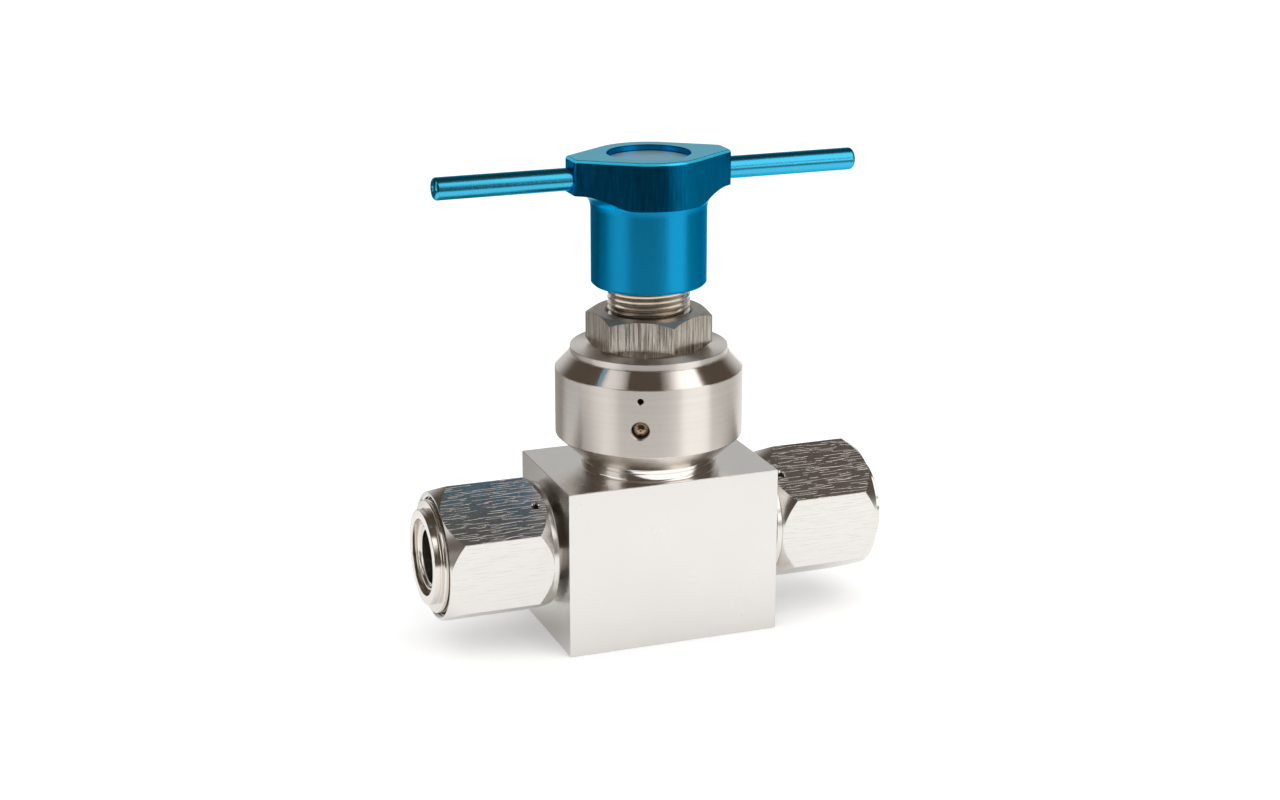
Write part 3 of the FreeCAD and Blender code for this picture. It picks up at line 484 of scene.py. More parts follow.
def anodisedBlue(name, look):
    # dyed metal: a turned skirt below the split, a milled head above it, a matt top and recess floor painted paler
    # as a sheen, and a painted highlight on the rounded top edge
    paint = Paint(name)
    spot = paint.millimetres()
    x, y, z = paint.parts(spot)
    radius = (x * x + y * y) ** 0.5
    brush = paint.noise(spot, look["brush"], detail=3.0, stretch=(1.0, 1.0, 0.05))
    cloud = paint.noise(spot, 0.06, detail=2.0)
    bump = paint.bump(brush, look["bump"], 0.1)
    grain = (brush - 0.5) * look["roughBrush"] + (cloud - 0.5) * look["roughCloud"]
    strokes = (brush - 0.5) * look["strokes"] + 0.5
    floorLow, floorHigh = [hubTop - depth for depth in headZones["floor"]]
    rimLow, rimHigh = [hubTop - depth for depth in headZones["rim"]]
    top = z.between(hubTop - headZones["top"], everywhere)
    floor = z.between(floorLow, floorHigh) * radius.between(-1, headZones["floorRadius"])
    # painted highlight: the band on the rounded top edge gets a bright cyan colour and is made less metallic
    rim = z.between(rimLow, rimHigh) * radius.between(headZones["rimRadius"], everywhere)
    side = paint.mixed(rim * look["rimHighlightShare"], paint.mixed(strokes, *look["headColour"]), look["rimHighlightColour"])
    # painted sheen: the top face and the recess floor get a paler colour, on top of being matt
    shade = paint.mixed(floor, paint.mixed(top, side, look["topSheenColour"]), look["floorSheenColour"])
    turned = paint.principled(Base_Color=paint.mixed(brush, *look["skirtColour"]), Metallic=1.0, Normal=bump,
                              Roughness=look["turnedRough"] + grain, Anisotropic=0.98,
                              Anisotropic_Rotation=turning["brushTurn"], Specular_Tint=look["edgeTint"])
    milled = paint.principled(Base_Color=shade, Normal=bump, Specular_Tint=look["topTint"],
                              Metallic=1 - (top + floor) * look["dull"] - rim * look["rimDull"],
                              Roughness=look["milledRough"] + grain + (top + floor) * look["matt"])
    both = paint.node("MixShader", values={0: z.between(look["split"], everywhere), 1: turned, 2: milled})
    paint.node("OutputMaterial", values={"Surface": both})
    return paint.material


blue = anodisedBlue("anodisedBlue", {
    "skirtColour": [(0.01, 0.31, 0.61), (0.01, 0.39, 0.73)], "headColour": [(0.0, 0.20, 0.47), (0.0, 0.35, 0.75)],
    "rimHighlightColour": (0.05, 0.72, 1.0), "topSheenColour": (0.18, 0.50, 0.62), "floorSheenColour": (0.33, 0.53, 0.62),
    "turnedRough": 0.37, "milledRough": 0.17, "roughBrush": 0.16, "roughCloud": 0.06, "strokes": 1.8,
    "rimHighlightShare": 0.8, "dull": 0.38, "rimDull": 0.608, "matt": 0.22, "brush": 2.3, "bump": 0.35, "split": 158.5,
    "edgeTint": (0.02, 0.50, 0.72, 1), "topTint": (0.25, 0.75, 0.95, 1)})
barColours = [(0.05, 0.43, 0.66), (0.06, 0.48, 0.72)]
barBlue = anodisedBlue("anodisedBar", {
    "skirtColour": barColours, "headColour": barColours, "rimHighlightColour": barColours[0], "topSheenColour": barColours[0],
    "floorSheenColour": barColours[0], "turnedRough": 0.25, "milledRough": 0.25, "roughBrush": 0.16,
    "roughCloud": 0.06, "strokes": 1.8, "rimHighlightShare": 0.8, "dull": 0.0, "rimDull": 0.0, "matt": 0.0, "brush": 3.0,
    "bump": 0.0, "split": 0.0, "edgeTint": (0.1, 0.5, 0.75, 1), "topTint": (0.1, 0.5, 0.75, 1)})


metalGrain = {"scale": 3.0, "bump": 0.08, "darker": 0.88, "metallic": 1.0, "roughGrain": 0.1}
softGrain = {"scale": 6.0, "bump": 0.1, "darker": 0.9, "metallic": 0.0, "roughGrain": 0.1}


def plainMaterial(name, colour, rough, look=metalGrain):
    paint = Paint(name)
    grain = paint.noise(paint.millimetres(), look["scale"], detail=3.0)
    darker = [part * look["darker"] for part in colour]
    return paint.surface(Base_Color=paint.mixed(grain, darker, colour), Metallic=look["metallic"],
                         Roughness=rough + (grain - 0.5) * look["roughGrain"],
                         Normal=paint.bump(grain, look["bump"]))


bronze = plainMaterial("bronzeMetal", (0.42, 0.28, 0.13), 0.28)
brownSteel = plainMaterial("brownScrewSteel", (0.36, 0.27, 0.19), 0.16)
hardSteel = plainMaterial("hardenedSteel", (0.72, 0.72, 0.73), 0.12)
screwSteel = plainMaterial("darkScrewSteel", (0.10, 0.095, 0.09), 0.35)
bellowsSteel = plainMaterial("bellowsSteel", (0.70, 0.68, 0.65), 0.2)
nickel = plainMaterial("gasketNickel", (0.55, 0.52, 0.46), 0.3)
polymer = plainMaterial("whitePolymer", (0.85, 0.85, 0.82), 0.5, softGrain)
rubber = plainMaterial("blackRubber", (0.02, 0.02, 0.02), 0.6, softGrain)
print("stage: materials made")


# Body block with its neck, flow path and sockets

block = {"top": 61.5, "edge": 0.35, "neck": 24.9, "root": 0.8, "rootSteps": 6, "sink": 3, "reliefBase": 64.1,
         "reliefTop": 65.5, "relief": 0.5, "reliefRise": 0.3, "neckEdge": 0.5, "chamber": 17.0,
         "chamberFloor": 45.5, "seatTop": 47.5, "seat": 9.2, "orifice": 7.0, "passage": 8.0,
         "passageEnds": {1: 9.5, -1: 6.0}, "socket": 14.54, "socketDepth": 12.0, "mouth": (0.3, 0.4, 0.1),
         "gasketInner": 18.6, "gasketOuter": 22.2, "gasketDepth": 1.0, "link": 3.5, "linkPlace": 13.0}
groundLook = {"grain": {"scale": 2.4, "detail": 4.0, "stretch": (0.30, 0.30, 1.0)},
              "cross": {"scale": 1.6, "detail": 3.0, "stretch": (1.0, 1.0, 0.25), "start": (7, 3, 5)},
              "cloud": {"scale": 0.045, "detail": 2.0}, "grainShare": 0.6, "bump": 0.12, "rough": 0.24,
              "roughGrain": 0.12, "roughCloud": 0.08, "neckPolish": 0.10,
              "colours": [(0.75, 0.727, 0.70), (0.81, 0.79, 0.76)], "neckColour": (0.90, 0.87, 0.83)}


def groundMetal(name, look):
    # ground faces of the block, and a smoother, paler neck above them
    paint = Paint(name)
    spot = paint.millimetres()
    grain, cross, cloud = [paint.noise(spot, **look[kind]) for kind in ("grain", "cross", "cloud")]
    neck = paint.parts(spot)[2].between(block["top"] + 0.1, everywhere)
    uneven = (grain - 0.5) * look["roughGrain"] + (cloud - 0.5) * look["roughCloud"]
    relief = grain * look["grainShare"] + cross * (1 - look["grainShare"])
    shade = paint.mixed(neck, paint.mixed(cloud, *look["colours"]), look["neckColour"])
    return paint.surface(Base_Color=shade, Metallic=1.0, Normal=paint.bump(relief * (1 - neck), look["bump"], 0.1),
                         Roughness=look["rough"] + (1 - neck) * uneven - neck * look["neckPolish"])


def buildBlock():
    b = block
    length, width = high("valve_body", 0), high("valve_body", 1)
    solid = soften(box((-length, -width, 0), (length, width, b["top"])), b["edge"], 3)
    inner, sunk = b["chamber"] - over, b["top"] - b["sink"]
    neck = [(inner, sunk), (b["neck"] + b["root"], sunk)]
    neck += quarter(b["neck"], b["top"], b["root"], b["root"], b["rootSteps"])
    neck += [(b["neck"], b["reliefBase"]), (b["neck"] - b["relief"], b["reliefBase"] + b["reliefRise"]),
             (b["neck"] - b["relief"], b["reliefTop"] - b["reliefRise"]), (b["neck"], b["reliefTop"]),
             (b["neck"], neckTop - b["neckEdge"]), (b["neck"] - b["neckEdge"], neckTop),
             (b["gasketOuter"], neckTop), (b["gasketOuter"], neckTop - b["gasketDepth"]),
             (b["gasketInner"], neckTop - b["gasketDepth"]), (b["gasketInner"], neckTop), (inner, neckTop)]
    solid = combined(solid, spun(neck, 192), "UNION")
    chamber = [(0, portHeight), (b["orifice"], portHeight), (b["orifice"], b["seatTop"]),
               (b["seat"], b["seatTop"]), (b["seat"], b["chamberFloor"]), (b["chamber"], b["chamberFloor"]),
               (b["chamber"], neckTop + over), (0, neckTop + over)]
    solid = bored(solid, chamber, 96)
    shoulder = length - b["socketDepth"]
    mouthDeep, mouthWide, mouthPast = b["mouth"]
    for side, end in b["passageEnds"].items():
        flow = [(0, side * end), (b["passage"], side * end), (b["passage"], shoulder), (b["socket"], shoulder),
                (b["socket"], length - mouthDeep), (b["socket"] + mouthWide, length + mouthPast),
                (b["socket"] + mouthWide, length + over), (0, length + over)]
        solid = bored(solid, flow, 96, alongX, turnZ(0 if side > 0 else 180), shift(z=portHeight))
    linkTop = b["chamberFloor"] + over
    link = [(0, portHeight), (b["link"], portHeight), (b["link"], linkTop), (0, linkTop)]
    return bored(solid, link, 48, shift(x=b["linkPlace"]))


groundSteel = groundMetal("groundBlockSteel", groundLook)
finished("blockBody", buildBlock(), groundSteel, "valve", "valve_body")


# Port glands: a tube with a raised, recessed sealing end

gland = {"bore": 9.7, "tube": 14.5, "start": 28.0, "headBack": 65.9, "head": 20.4, "headFront": 83.9,
         "boss": 17.2, "bossFront": 86.5, "recess": 13.8, "floor": 84.0, "bead": 11.8, "beadRadius": 0.9,
         "beadSteps": 8, "edge": 0.35}


def buildGland():
    g = gland
    outline = [(g["bore"], g["start"]), (g["tube"], g["start"]), (g["tube"], g["headBack"]),
               (g["head"], g["headBack"]), (g["head"], g["headFront"]), (g["boss"], g["headFront"]),
               (g["boss"], g["bossFront"]), (g["recess"], g["bossFront"]), (g["recess"], g["floor"])]
    for step in range(g["beadSteps"] + 1):
        angle = step * math.pi / g["beadSteps"]
        outline.append((g["bead"] + g["beadRadius"] * math.cos(angle),
                        g["floor"] + g["beadRadius"] * math.sin(angle)))
    outline.append((g["bore"], g["floor"]))
    return spun(outline, 160, edge=g["edge"], edgeSteps=3)


glandShape = buildGland()
for side, turn in (("left", 180), ("right", 0)):
    bm = place(glandShape.copy(), alongX, turnZ(turn), shift(z=portHeight))
    finished(side + "Gland", bm, glandSteel, "valve", side + "_gland")


# Port nuts: hexagons with turned ends, a threaded mouth and a test hole

portNut = {"flats": 46.0, "cornerEdge": 0.25, "chamfer": 5.4, "coneReach": 1.6, "coneSteps": 192, "start": 42.0,
           "hexStart": 44.2, "end": 82.5, "collar": 22.6, "collarEdge": 0.5, "collarRound": 0.15,
           "collarLap": 0.6, "hole": 14.9, "wall": 46.5, "bore": 21.4, "threadStart": 66.0, "threadLap": 0.5,
           "threadDepth": 0.8, "threadSkin": 0.05, "pitch": 1.5, "mouth": 0.9, "testHole": 1.1,
           "testPlace": 47.8, "testSink": 0.5, "testDepth": 5, "shadeDepth": 0.05, "shadeRadius": 1.3,
           "faint": 0.4, "leftRoll": -34.5, "rightRoll": 32.8}


def buildPortNut():
    # drawn lying along +X with its test hole upwards
    n = portNut
    half = n["flats"] / 2
    solid = hexBlank(n, n["hexStart"], n["end"])
    inner, collarTop = n["hole"] - over, n["hexStart"] + n["collarLap"]
    collar = [(inner, n["start"]), (n["collar"] - n["collarEdge"], n["start"]),
              (n["collar"] - n["collarRound"], n["start"] + n["collarRound"]),
              (n["collar"], n["start"] + n["collarEdge"]), (n["collar"], collarTop), (inner, collarTop)]
    solid = combined(solid, spun(collar, 192), "UNION")
    boreTop = n["threadStart"] + n["threadLap"]
    bore = [(0, n["start"] - over), (n["hole"], n["start"] - over), (n["hole"], n["wall"]),
            (n["bore"], n["wall"]), (n["bore"], boreTop), (0, boreTop)]
    solid = bored(solid, bore, 144)
    thread = threadRod(n["bore"] + n["threadDepth"], n["bore"] + n["threadSkin"], n["pitch"], n["threadStart"],
                       n["end"] + over, 72)
    solid = combined(solid, thread)
    mouth = [(0, n["end"] - n["mouth"]), (n["bore"], n["end"] - n["mouth"]), (n["bore"] + n["mouth"], n["end"]),
             (n["bore"] + n["mouth"], n["end"] + over), (0, n["end"] + over)]
    solid = place(bored(solid, mouth, 144), alongX)
    wide, deep = n["testHole"] + n["testSink"], half - n["testDepth"]
    test = [(0, deep), (n["testHole"], deep), (n["testHole"], half - n["testSink"]), (wide, half),
            (wide, half + over), (0, half + over)]
    solid = bored(solid, test, 32, shift(x=n["testPlace"]))
    onFlat = isFlat(half)
    marked(solid, "flats",
           lambda middle, normal: onFlat(middle, normal) * (1.0 if abs(normal.z) > 0.9 else n["faint"]))
    # painted shade: faces just inside the test hole are marked for the dark colour
    shadeStart = Vector((n["testPlace"], 0, half - n["testSink"] - n["shadeDepth"]))
    return marked(solid, "holes", inHole(shadeStart, Vector((0, 0, -1)), n["shadeRadius"]))


nutShape = buildPortNut()
for side, turn in (("left", 180), ("right", 0)):
    bm = place(nutShape.copy(), turnX(portNut[side + "Roll"]), turnZ(turn), shift(z=portHeight))
    finished(side + "PortNut", bm, nutSteel, side + "_nut", side + "_port_nut")


# Union nut with its vent hole and lock screw

union = {"bore": 25.0, "foot": 25.9, "footTop": 7.5, "outside": 34.0, "wallTop": 32.0, "shelf": 28.9,
         "shelfTop": 37.5, "bossRadius": 28.5, "topHole": 17.0, "ceiling": 33.0, "edge": 0.25, "angle": -115.66,
         "holeStart": 20, "holePast": 0.05, "vent": 1.1, "ventWiden": 0.25, "ventEdge": 0.2, "ventLevel": 94.1,
         "lockHole": 3.25, "lockSink": 0.4, "lockLevel": 83.35, "shadeDepth": 0.35, "shadeRadius": 1.3}
lockScrew = {"start": 25.0, "startEdge": 0.6, "radius": 3.0, "end": 33.0, "dome": 2.3, "domeSteps": 10,
             "dimple": 0.55, "dimpleDepth": 0.5, "dimpleLip": 0.03}


def radial(level):
    # a piece drawn up Z points out of the union nut at the lock screw's angle
    return alongX, turnZ(union["angle"]), shift(z=level)


def sideHole(solid, radius, widen, edge, level, steps):
    # drilled in through the wall, with its mouth widened
    outside, start = union["outside"], union["holeStart"]
    hole = [(0, start), (radius, start), (radius, outside - edge), (radius + widen, outside + union["holePast"]),
            (radius + widen, outside + over), (0, outside + over)]
    return bored(solid, hole, steps, *radial(level))


def buildUnion():
    u = union
    base = unionBase
    outline = [(u["bore"], base), (u["foot"], base), (u["outside"], base + u["footTop"]),
               (u["outside"], base + u["wallTop"]), (u["shelf"], base + u["shelfTop"]),
               (u["bossRadius"], base + u["shelfTop"]), (u["bossRadius"], unionTop), (u["topHole"], unionTop),
               (u["topHole"], base + u["ceiling"]), (u["bore"], base + u["ceiling"])]
    solid = spun(outline, 240, edge=u["edge"], edgeSteps=3)
    solid = sideHole(solid, u["vent"], u["ventWiden"], u["ventEdge"], u["ventLevel"], 48)
    solid = sideHole(solid, u["lockHole"], u["lockSink"], u["lockSink"], u["lockLevel"], 64)
    # painted shade: faces inside the vent hole are marked for the dark colour
    outwards = direction(u["angle"], 0)
    start = outwards * (u["outside"] - u["shadeDepth"]) + Vector((0, 0, u["ventLevel"]))
    return marked(solid, "holes", inHole(start, -outwards, u["shadeRadius"]))


def buildLockScrew():
    s = lockScrew
    base = s["end"] - s["dome"]
    outline = [(0, s["start"]), (s["radius"] - s["startEdge"], s["start"]),
               (s["radius"], s["start"] + s["startEdge"]), (s["radius"], base)]
    for step in range(1, s["domeSteps"]):
        angle = step * math.pi / (2 * s["domeSteps"])
        if s["radius"] * math.cos(angle) > s["dimple"]:
            outline.append((s["radius"] * math.cos(angle), base + s["dome"] * math.sin(angle)))
    outline += [(s["dimple"], s["end"] - s["dimpleLip"]), (0, s["end"] - s["dimpleDepth"])]
    return place(spun(outline, 64), *radial(union["lockLevel"]))


finished("unionNut", buildUnion(), satinSteel, "valve", "union_nut")
finished("lockScrew", buildLockScrew(), brownSteel, "valve", "lock_screw")


# Bonnet with its threaded post

bonnet = {"base": 92.0, "flange": 23.7, "flangeTop": 99.0, "shank": 16.7, "shankTop": 105.55, "edge": 0.3,
          "plain": 14.85, "threadBase": 116.5, "threadLap": 0.5, "major": 14.9, "minor": 13.75, "pitch": 2.0,
          "cavity": 12.5, "cavityTop": 120.08, "nutBore": 11.0, "guideBase": 143.0, "guide": 7.96,
          "groove": 10.0, "grooveBase": 144.2, "grooveTop": 146.7}


def buildBonnet():
    b = bonnet
    top = high("bonnet", 2)
    plainTop = b["threadBase"] + b["threadLap"]
    outline = [(0, b["base"]), (b["flange"], b["base"]), (b["flange"], b["flangeTop"]),
               (b["shank"], b["flangeTop"]), (b["shank"], b["shankTop"]), (b["plain"], b["shankTop"]),
               (b["plain"], plainTop), (0, plainTop)]
    rod = threadRod(b["major"], b["minor"], b["pitch"], b["threadBase"], top, 80)
    solid = combined(spun(outline, 160, edge=b["edge"]), rod, "UNION")
    inside = [(0, b["base"] - over), (b["cavity"], b["base"] - over), (b["cavity"], b["cavityTop"]),
              (b["nutBore"], b["cavityTop"]), (b["nutBore"], b["guideBase"]), (b["guide"], b["guideBase"]),
              (b["guide"], b["grooveBase"]), (b["groove"], b["grooveBase"]), (b["groove"], b["grooveTop"]),
              (b["guide"], b["grooveTop"]), (b["guide"], top + over), (0, top + over)]
    return bored(solid, inside, 96)


finished("bonnetPost", buildBonnet(), postSteel, "valve", "bonnet")


# Panel nut on the post

panelNut = {"flats": 40.0, "cornerEdge": 0.25, "chamfer": 1.8, "coneReach": 1.5, "coneSteps": 192,
            "bore": 15.0, "sink": 0.9, "turn": 2.1}


def buildPanelNut():
    n = panelNut
    wide = n["bore"] + n["sink"]
    bore = [(0, unionTop - over), (wide, unionTop - over), (wide, unionTop), (n["bore"], unionTop + n["sink"]),
            (n["bore"], panelTop - n["sink"]), (wide, panelTop), (wide, panelTop + over), (0, panelTop + over)]
    solid = bored(hexBlank(n, unionTop, panelTop), bore, 144)
    return marked(place(solid, turnZ(n["turn"])), "flats", isFlat(n["flats"] / 2))


finished("panelNut", buildPanelNut(), panelSteel, "valve", "panel_nut")


# Handle hub: a round skirt under a head that is drawn out to two flat ends

hub = {"skirt": 20.75, "skirtEdge": 0.9, "head": 21.25, "reach": 29.5, "facet": 5.0, "facetEdge": 0.7,
       "topEdge": 1.2, "wingBase": 163.0, "wingSpace": 10, "fillet": 7.0, "filletSteps": 12, "cavity": 16.2,
       "cavityEdge": 0.5, "ceiling": 150.0, "bore": 6.49, "boreTop": 162.0, "recess": 14.85,
       "recessDepth": 2.2, "recessEdge": 0.3, "barHole": 4.04, "barEdge": 0.3, "screwHole": 2.54,
       "screwStart": 3, "screwLevel": 156.0, "flatTurn": 0.002, "topError": 0.01}


def buildHead():
    # the round head and its four far corners, wrapped in one convex shape
    h = hub
    solid = bmesh.new()
    bmesh.ops.create_cone(solid, cap_ends=True, segments=240, radius1=h["head"], radius2=h["head"],
                          depth=hubTop - hubBase, matrix=shift(z=(hubTop + hubBase) / 2))
    for x in (-h["reach"], h["reach"]):
        for y in (-h["facet"], h["facet"]):
            for z in (hubBase, hubTop):
                solid.verts.new((x, y, z))
    hull = bmesh.ops.convex_hull(solid, input=solid.verts[:])
    spare = [item for item in hull["geom_interior"] if item.is_valid and isinstance(item, bmesh.types.BMVert)]
    bmesh.ops.delete(solid, geom=spare, context="VERTS")
    bmesh.ops.dissolve_limit(solid, angle_limit=h["flatTurn"], verts=solid.verts, edges=solid.edges)
    bmesh.ops.recalc_face_normals(solid, faces=solid.faces)
    soften(solid, h["facetEdge"], 4, isUpright)
    return soften(solid, h["topEdge"], 7,
                  lambda side: all(abs(end.co.z - hubTop) < h["topError"] for end in side.verts))


def buildHub():
    h = hub
    below, outer = hubBase - over, h["reach"] + h["wingSpace"]
    under = [(h["skirt"], below), (outer, below), (outer, h["wingBase"])]
    under += quarter(h["skirt"], h["wingBase"], h["fillet"], -h["fillet"], h["filletSteps"])
    solid = bored(buildHead(), under, 240)
    foot, past = h["skirt"] - h["skirtEdge"], h["skirt"] + over
    skirtCut = [(foot, hubBase), (foot, below), (past, below), (past, hubBase + h["skirtEdge"] + over)]
    solid = bored(solid, skirtCut, 240)
    mouth = h["cavity"] + h["cavityEdge"]
    inside = [(0, below), (mouth, below), (mouth, hubBase), (h["cavity"], hubBase + h["cavityEdge"]),
              (h["cavity"], h["ceiling"]), (h["bore"], h["ceiling"]), (h["bore"], h["boreTop"]),
              (0, h["boreTop"])]
    solid = bored(solid, inside, 144)
    floor, edge = hubTop - h["recessDepth"], h["recessEdge"]
    recess = [(0, floor), (h["recess"] - edge, floor), (h["recess"], floor + edge), (h["recess"], hubTop - edge),
              (h["recess"] + edge, hubTop), (h["recess"] + edge, hubTop + over), (0, hubTop + over)]
    solid = bored(solid, recess, 192)
    reach, edge = h["reach"], h["barEdge"]
    wide = h["barHole"] + edge
    barHole = [(0, -reach - over), (wide, -reach - over), (wide, -reach), (h["barHole"], -reach + edge),
               (h["barHole"], reach - edge), (wide, reach), (wide, reach + over), (0, reach + over)]
    solid = bored(solid, barHole, 64, alongX, shift(z=barLevel))
    start, end = h["screwStart"], h["head"] + over
    screwHole = [(0, start), (h["screwHole"], start), (h["screwHole"], end), (0, end)]
    for level in (h["screwLevel"], barLevel):
        solid = bored(solid, screwHole, 48, alongX, turnZ(90), shift(z=level))
    return solid


finished("handleHub", buildHub(), blue, "handle", "handle_hub", 16)


# T-bar and the two set screws at the back

bar = {"radius": 4.0, "edge": 1.4, "edgeSteps": 8, "hole": 1.25, "holeDepth": 2.2}
setScrew = {"radius": 2.5, "length": 9.0, "tipEdge": 0.8, "headEdge": 0.4, "socket": 2.5, "socketDepth": 3.0,
            "tips": {"hub": 5.69, "bar": 4.04}}


def buildBar():
    b = bar
    end = high("handle_bar", 0)
    outline = []
    for side in (-1, 1):
        rounds = quarter(b["radius"], side * end, -b["edge"], -side * b["edge"], b["edgeSteps"])
        stretch = [(b["hole"], side * end)] + rounds
        outline += stretch if side < 0 else stretch[::-1]
    outline += [(0, end - b["holeDepth"]), (0, -end + b["holeDepth"])]
    return place(spun(outline, 96), alongX, shift(z=barLevel))


def buildSetScrew(tip, level):
    s = setScrew
    outline = [(0, 0), (s["radius"] - s["tipEdge"], 0), (s["radius"], s["tipEdge"]),
               (s["radius"], s["length"] - s["headEdge"]), (s["radius"] - s["headEdge"], s["length"]),
               (0, s["length"])]
    socket = hexPrism(s["socket"], s["length"] - s["socketDepth"], s["length"] + over)
    return place(combined(spun(outline, 48), socket), alongX, turnZ(90), shift(y=tip, z=level))


finished("handleBar", buildBar(), barBlue, "handle", "handle_bar")
for screw, level in (("hub", hub["screwLevel"]), ("bar", barLevel)):
    finished(screw + "SetScrew", buildSetScrew(setScrew["tips"][screw], level), screwSteel, "handle",
             screw + "_set_screw")


# Bellows: a waved wall that spans the CAD bellows from end to end

bellows = {"folds": 8, "root": 10.8, "crown": 14.8, "wall": 0.35, "lift": 6.0, "pointsPerFold": 12, "steps": 72}


def buildBellows():
    b = bellows
    base, top = low("bellows", 2), high("bellows", 2)
    middle, swing = (b["crown"] + b["root"]) / 2, (b["crown"] - b["root"]) / 2
    count = b["folds"] * b["pointsPerFold"]
    wave = [(middle - swing * math.cos(fullTurn * i / b["pointsPerFold"]), base + (top - base) * i / count)
            for i in range(count + 1)]
    bm = swept(wave, b["steps"], closed=False)
    bmesh.ops.remove_doubles(bm, verts=bm.verts, dist=weld)
    bmesh.ops.recalc_face_normals(bm, faces=bm.faces)
    bmesh.ops.solidify(bm, geom=bm.faces[:], thickness=b["wall"])
    return levelEnds(bm, base, top, capped=False)


bellowsPiece = finished("bellowsWall", buildBellows(), bellowsSteel, "valve", "bellows")
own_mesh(bellowsPiece)


# Inner CAD pieces keep their meshes and get their finishes

inner = {brightSteel: ["left_thrust_ring", "right_thrust_ring", "bellows_ring", "lower_stem", "valve_disc",
                       "stem_coupling", "coupling_cap", "spindle"],
         nickel: ["bonnet_gasket"], bronze: ["guide_bushing", "stem_nut"], rubber: ["stem_o_ring"],
         polymer: ["seat_insert"], hardSteel: ["anti_rotation_pin", "lower_race", "upper_race", "thrust_balls"]}
for material, names in inner.items():
    for name in names:
        nodes[name].data.materials.clear()
        nodes[name].data.materials.append(material)
print("stage: inner pieces coloured")


# Studio: pale floor, white surroundings with darker zones for the metal to mirror, and soft lamps

studio = {"floorSize": 8.0, "tone": 0.80, "lift": 0.26, "mirrorLift": 0.16, "paper": 330.0, "paperEnd": 480.0,
          "farLeft": (0.06, 0.057, 0.054), "farRight": (0.29, 0.28, 0.26), "turnOver": (0.2, 1.0),
          "shaded": (0.30, 0.28, 0.26), "dark": (0.085, 0.066, 0.050), "bright": 0.62, "overhead": 1.5,
          "brightSide": {"azimuth": 70, "elevation": -8, "inner": 15, "outer": 60},
          "shadedSide": {"azimuth": 106, "elevation": 0, "inner": 10, "outer": 26}}
lamps = {"keyLamp": {"azimuth": -53, "elevation": 41.5, "distance": 1.2, "power": 3.9, "size": (0.92, 0.945)},
         "leftLamp": {"azimuth": -172, "elevation": 36, "distance": 1.1, "power": 1.35, "size": (0.5, 1.15)},
         "lowFrontCard": {"azimuth": -52, "elevation": 7, "distance": 1.1, "power": 1.2, "size": (0.75, 0.32)},
         "lowLeftCard": {"azimuth": -172, "elevation": 3, "distance": 1.1, "power": 1.0, "size": (1.0, 0.28)}}
lampTarget = Vector((0, 0, 0.08))
view = {"lens": 64.71, "sensor": 36.0, "nearest": 0.01, "place": (-0.28426, -0.74781, 0.32876),
        "down": 16.98, "turn": -20.59}


def towards(paint, outward, side):
    # 1 near one side of the studio, falling to 0 away from it
    zone = studio[side]
    near = paint.node("VectorMath", {"operation": "DOT_PRODUCT"},
                      {0: outward, 1: direction(zone["azimuth"], zone["elevation"])}, output="Value")
    return paint.eased(near, math.cos(math.radians(zone["outer"])), math.cos(math.radians(zone["inner"])))


def floorMaterial():
    # pale paper that ends in a darker room, which only the metal sees
    paint = Paint("floorPaper")
    spot = paint.millimetres()
    distance = paint.node("VectorMath", {"operation": "LENGTH"}, {0: spot}, output="Value")
    outward = paint.node("VectorMath", {"operation": "NORMALIZE"}, {0: spot})
    seen = paint.node("LightPath", output="Is Camera Ray")
    mirrored = seen.beside("Is Glossy Ray")
    far = paint.eased(distance, studio["paper"], studio["paperEnd"])
    far = far * (1 - towards(paint, outward, "brightSide")) * (1 - seen)
    dim = towards(paint, outward, "shadedSide") * (1 - seen)
    right = paint.eased(paint.parts(outward)[0], *studio["turnOver"])
    share = paint.mixed(far, (1, 1, 1), paint.mixed(right, studio["farLeft"], studio["farRight"]))
    share = paint.mixed(dim, share, studio["shaded"])
    tone = paint.node("Mix", {"data_type": "RGBA", "blend_type": "MULTIPLY"},
                      {0: 1.0, 6: share, 7: (*[studio["tone"]] * 3, 1)}, output=2)
    diffuse = paint.node("BsdfDiffuse", values={"Color": tone})
    strength = seen * studio["lift"] + mirrored * studio["mirrorLift"]
    glow = paint.node("Emission", values={"Color": share, "Strength": strength})
    both = paint.node("AddShader", values={0: diffuse, 1: glow})
    paint.node("OutputMaterial", values={"Surface": both})
    paint.material.cycles.emission_sampling = "NONE"  # its glow is meant for camera and mirror rays only
    return paint.material


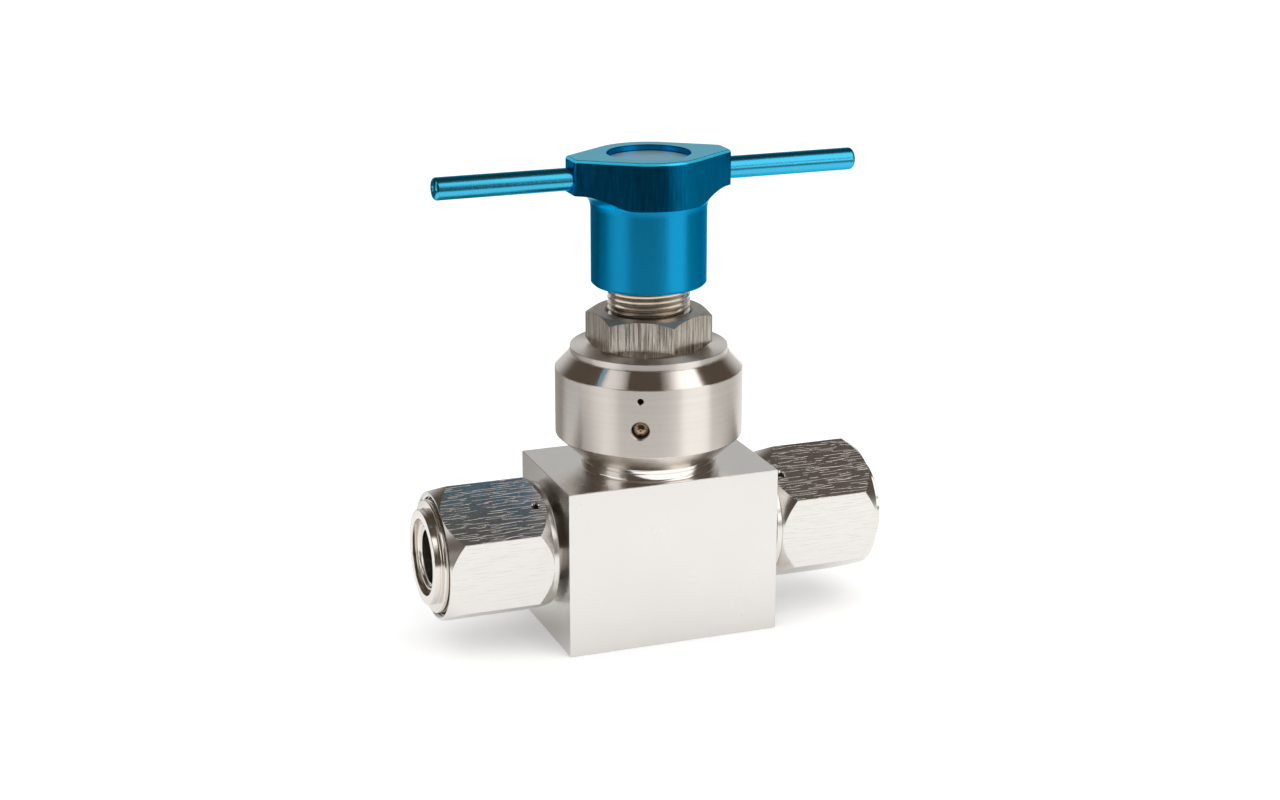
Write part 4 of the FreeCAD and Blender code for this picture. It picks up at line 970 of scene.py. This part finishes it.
def buildFloor():
    bm = bmesh.new()
    bmesh.ops.create_grid(bm, x_segments=1, y_segments=1, size=studio["floorSize"] / 2)
    mesh = bpy.data.meshes.new("floor")
    bm.to_mesh(mesh)
    bm.free()
    mesh.materials.append(floorMaterial())
    floor = bpy.data.objects.new("floor", mesh)
    bpy.context.scene.collection.objects.link(floor)


def buildWorld():
    world = bpy.data.worlds.new("studio")
    world.use_nodes = True
    world.cycles.sampling_method = "NONE"  # so that the ray kinds below are told apart
    bpy.context.scene.world = world
    paint = Paint("studio", world.node_tree)
    outward = paint.node("TexCoord", output="Generated")
    mirrored = paint.mixed(towards(paint, outward, "brightSide"), studio["dark"], [studio["bright"]] * 3)
    seen = paint.node("LightPath", output="Is Camera Ray")
    direct = seen + seen.beside("Is Transmission Ray")
    shiny = seen.beside("Is Glossy Ray")
    up = paint.parts(outward)[2]
    overhead = up.math("MAXIMUM", up, 0.0) * studio["overhead"]
    strength = direct + shiny + (1 - direct) * (1 - shiny) * overhead
    back = paint.node("Background", values={"Color": paint.mixed(shiny, (1, 1, 1), mirrored),
                                            "Strength": strength})
    paint.node("OutputWorld", values={"Surface": back})


def addLamp(name, settings):
    light = bpy.data.lights.new(name, "AREA")
    light.shape = "RECTANGLE"
    light.size, light.size_y = settings["size"]
    light.energy = settings["power"]
    lamp = bpy.data.objects.new(name, light)
    bpy.context.scene.collection.objects.link(lamp)
    outward = direction(settings["azimuth"], settings["elevation"])
    lamp.location = lampTarget + outward * settings["distance"]
    lamp.rotation_euler = (-outward).to_track_quat("-Z", "Y").to_euler()


def addCamera():
    data = bpy.data.cameras.new("camera")
    data.lens = view["lens"]
    data.sensor_width = view["sensor"]
    data.sensor_fit = "HORIZONTAL"
    data.clip_start = view["nearest"]
    camera = bpy.data.objects.new("camera", data)
    bpy.context.scene.collection.objects.link(camera)
    camera.location = view["place"]
    camera.rotation_euler = (math.radians(90 - view["down"]), 0, math.radians(view["turn"]))
    bpy.context.scene.camera = camera


buildFloor()
buildWorld()
for name, settings in lamps.items():
    addLamp(name, settings)
addCamera()
bpy.context.scene.view_settings.view_transform = "Standard"
print("stage: studio ready")
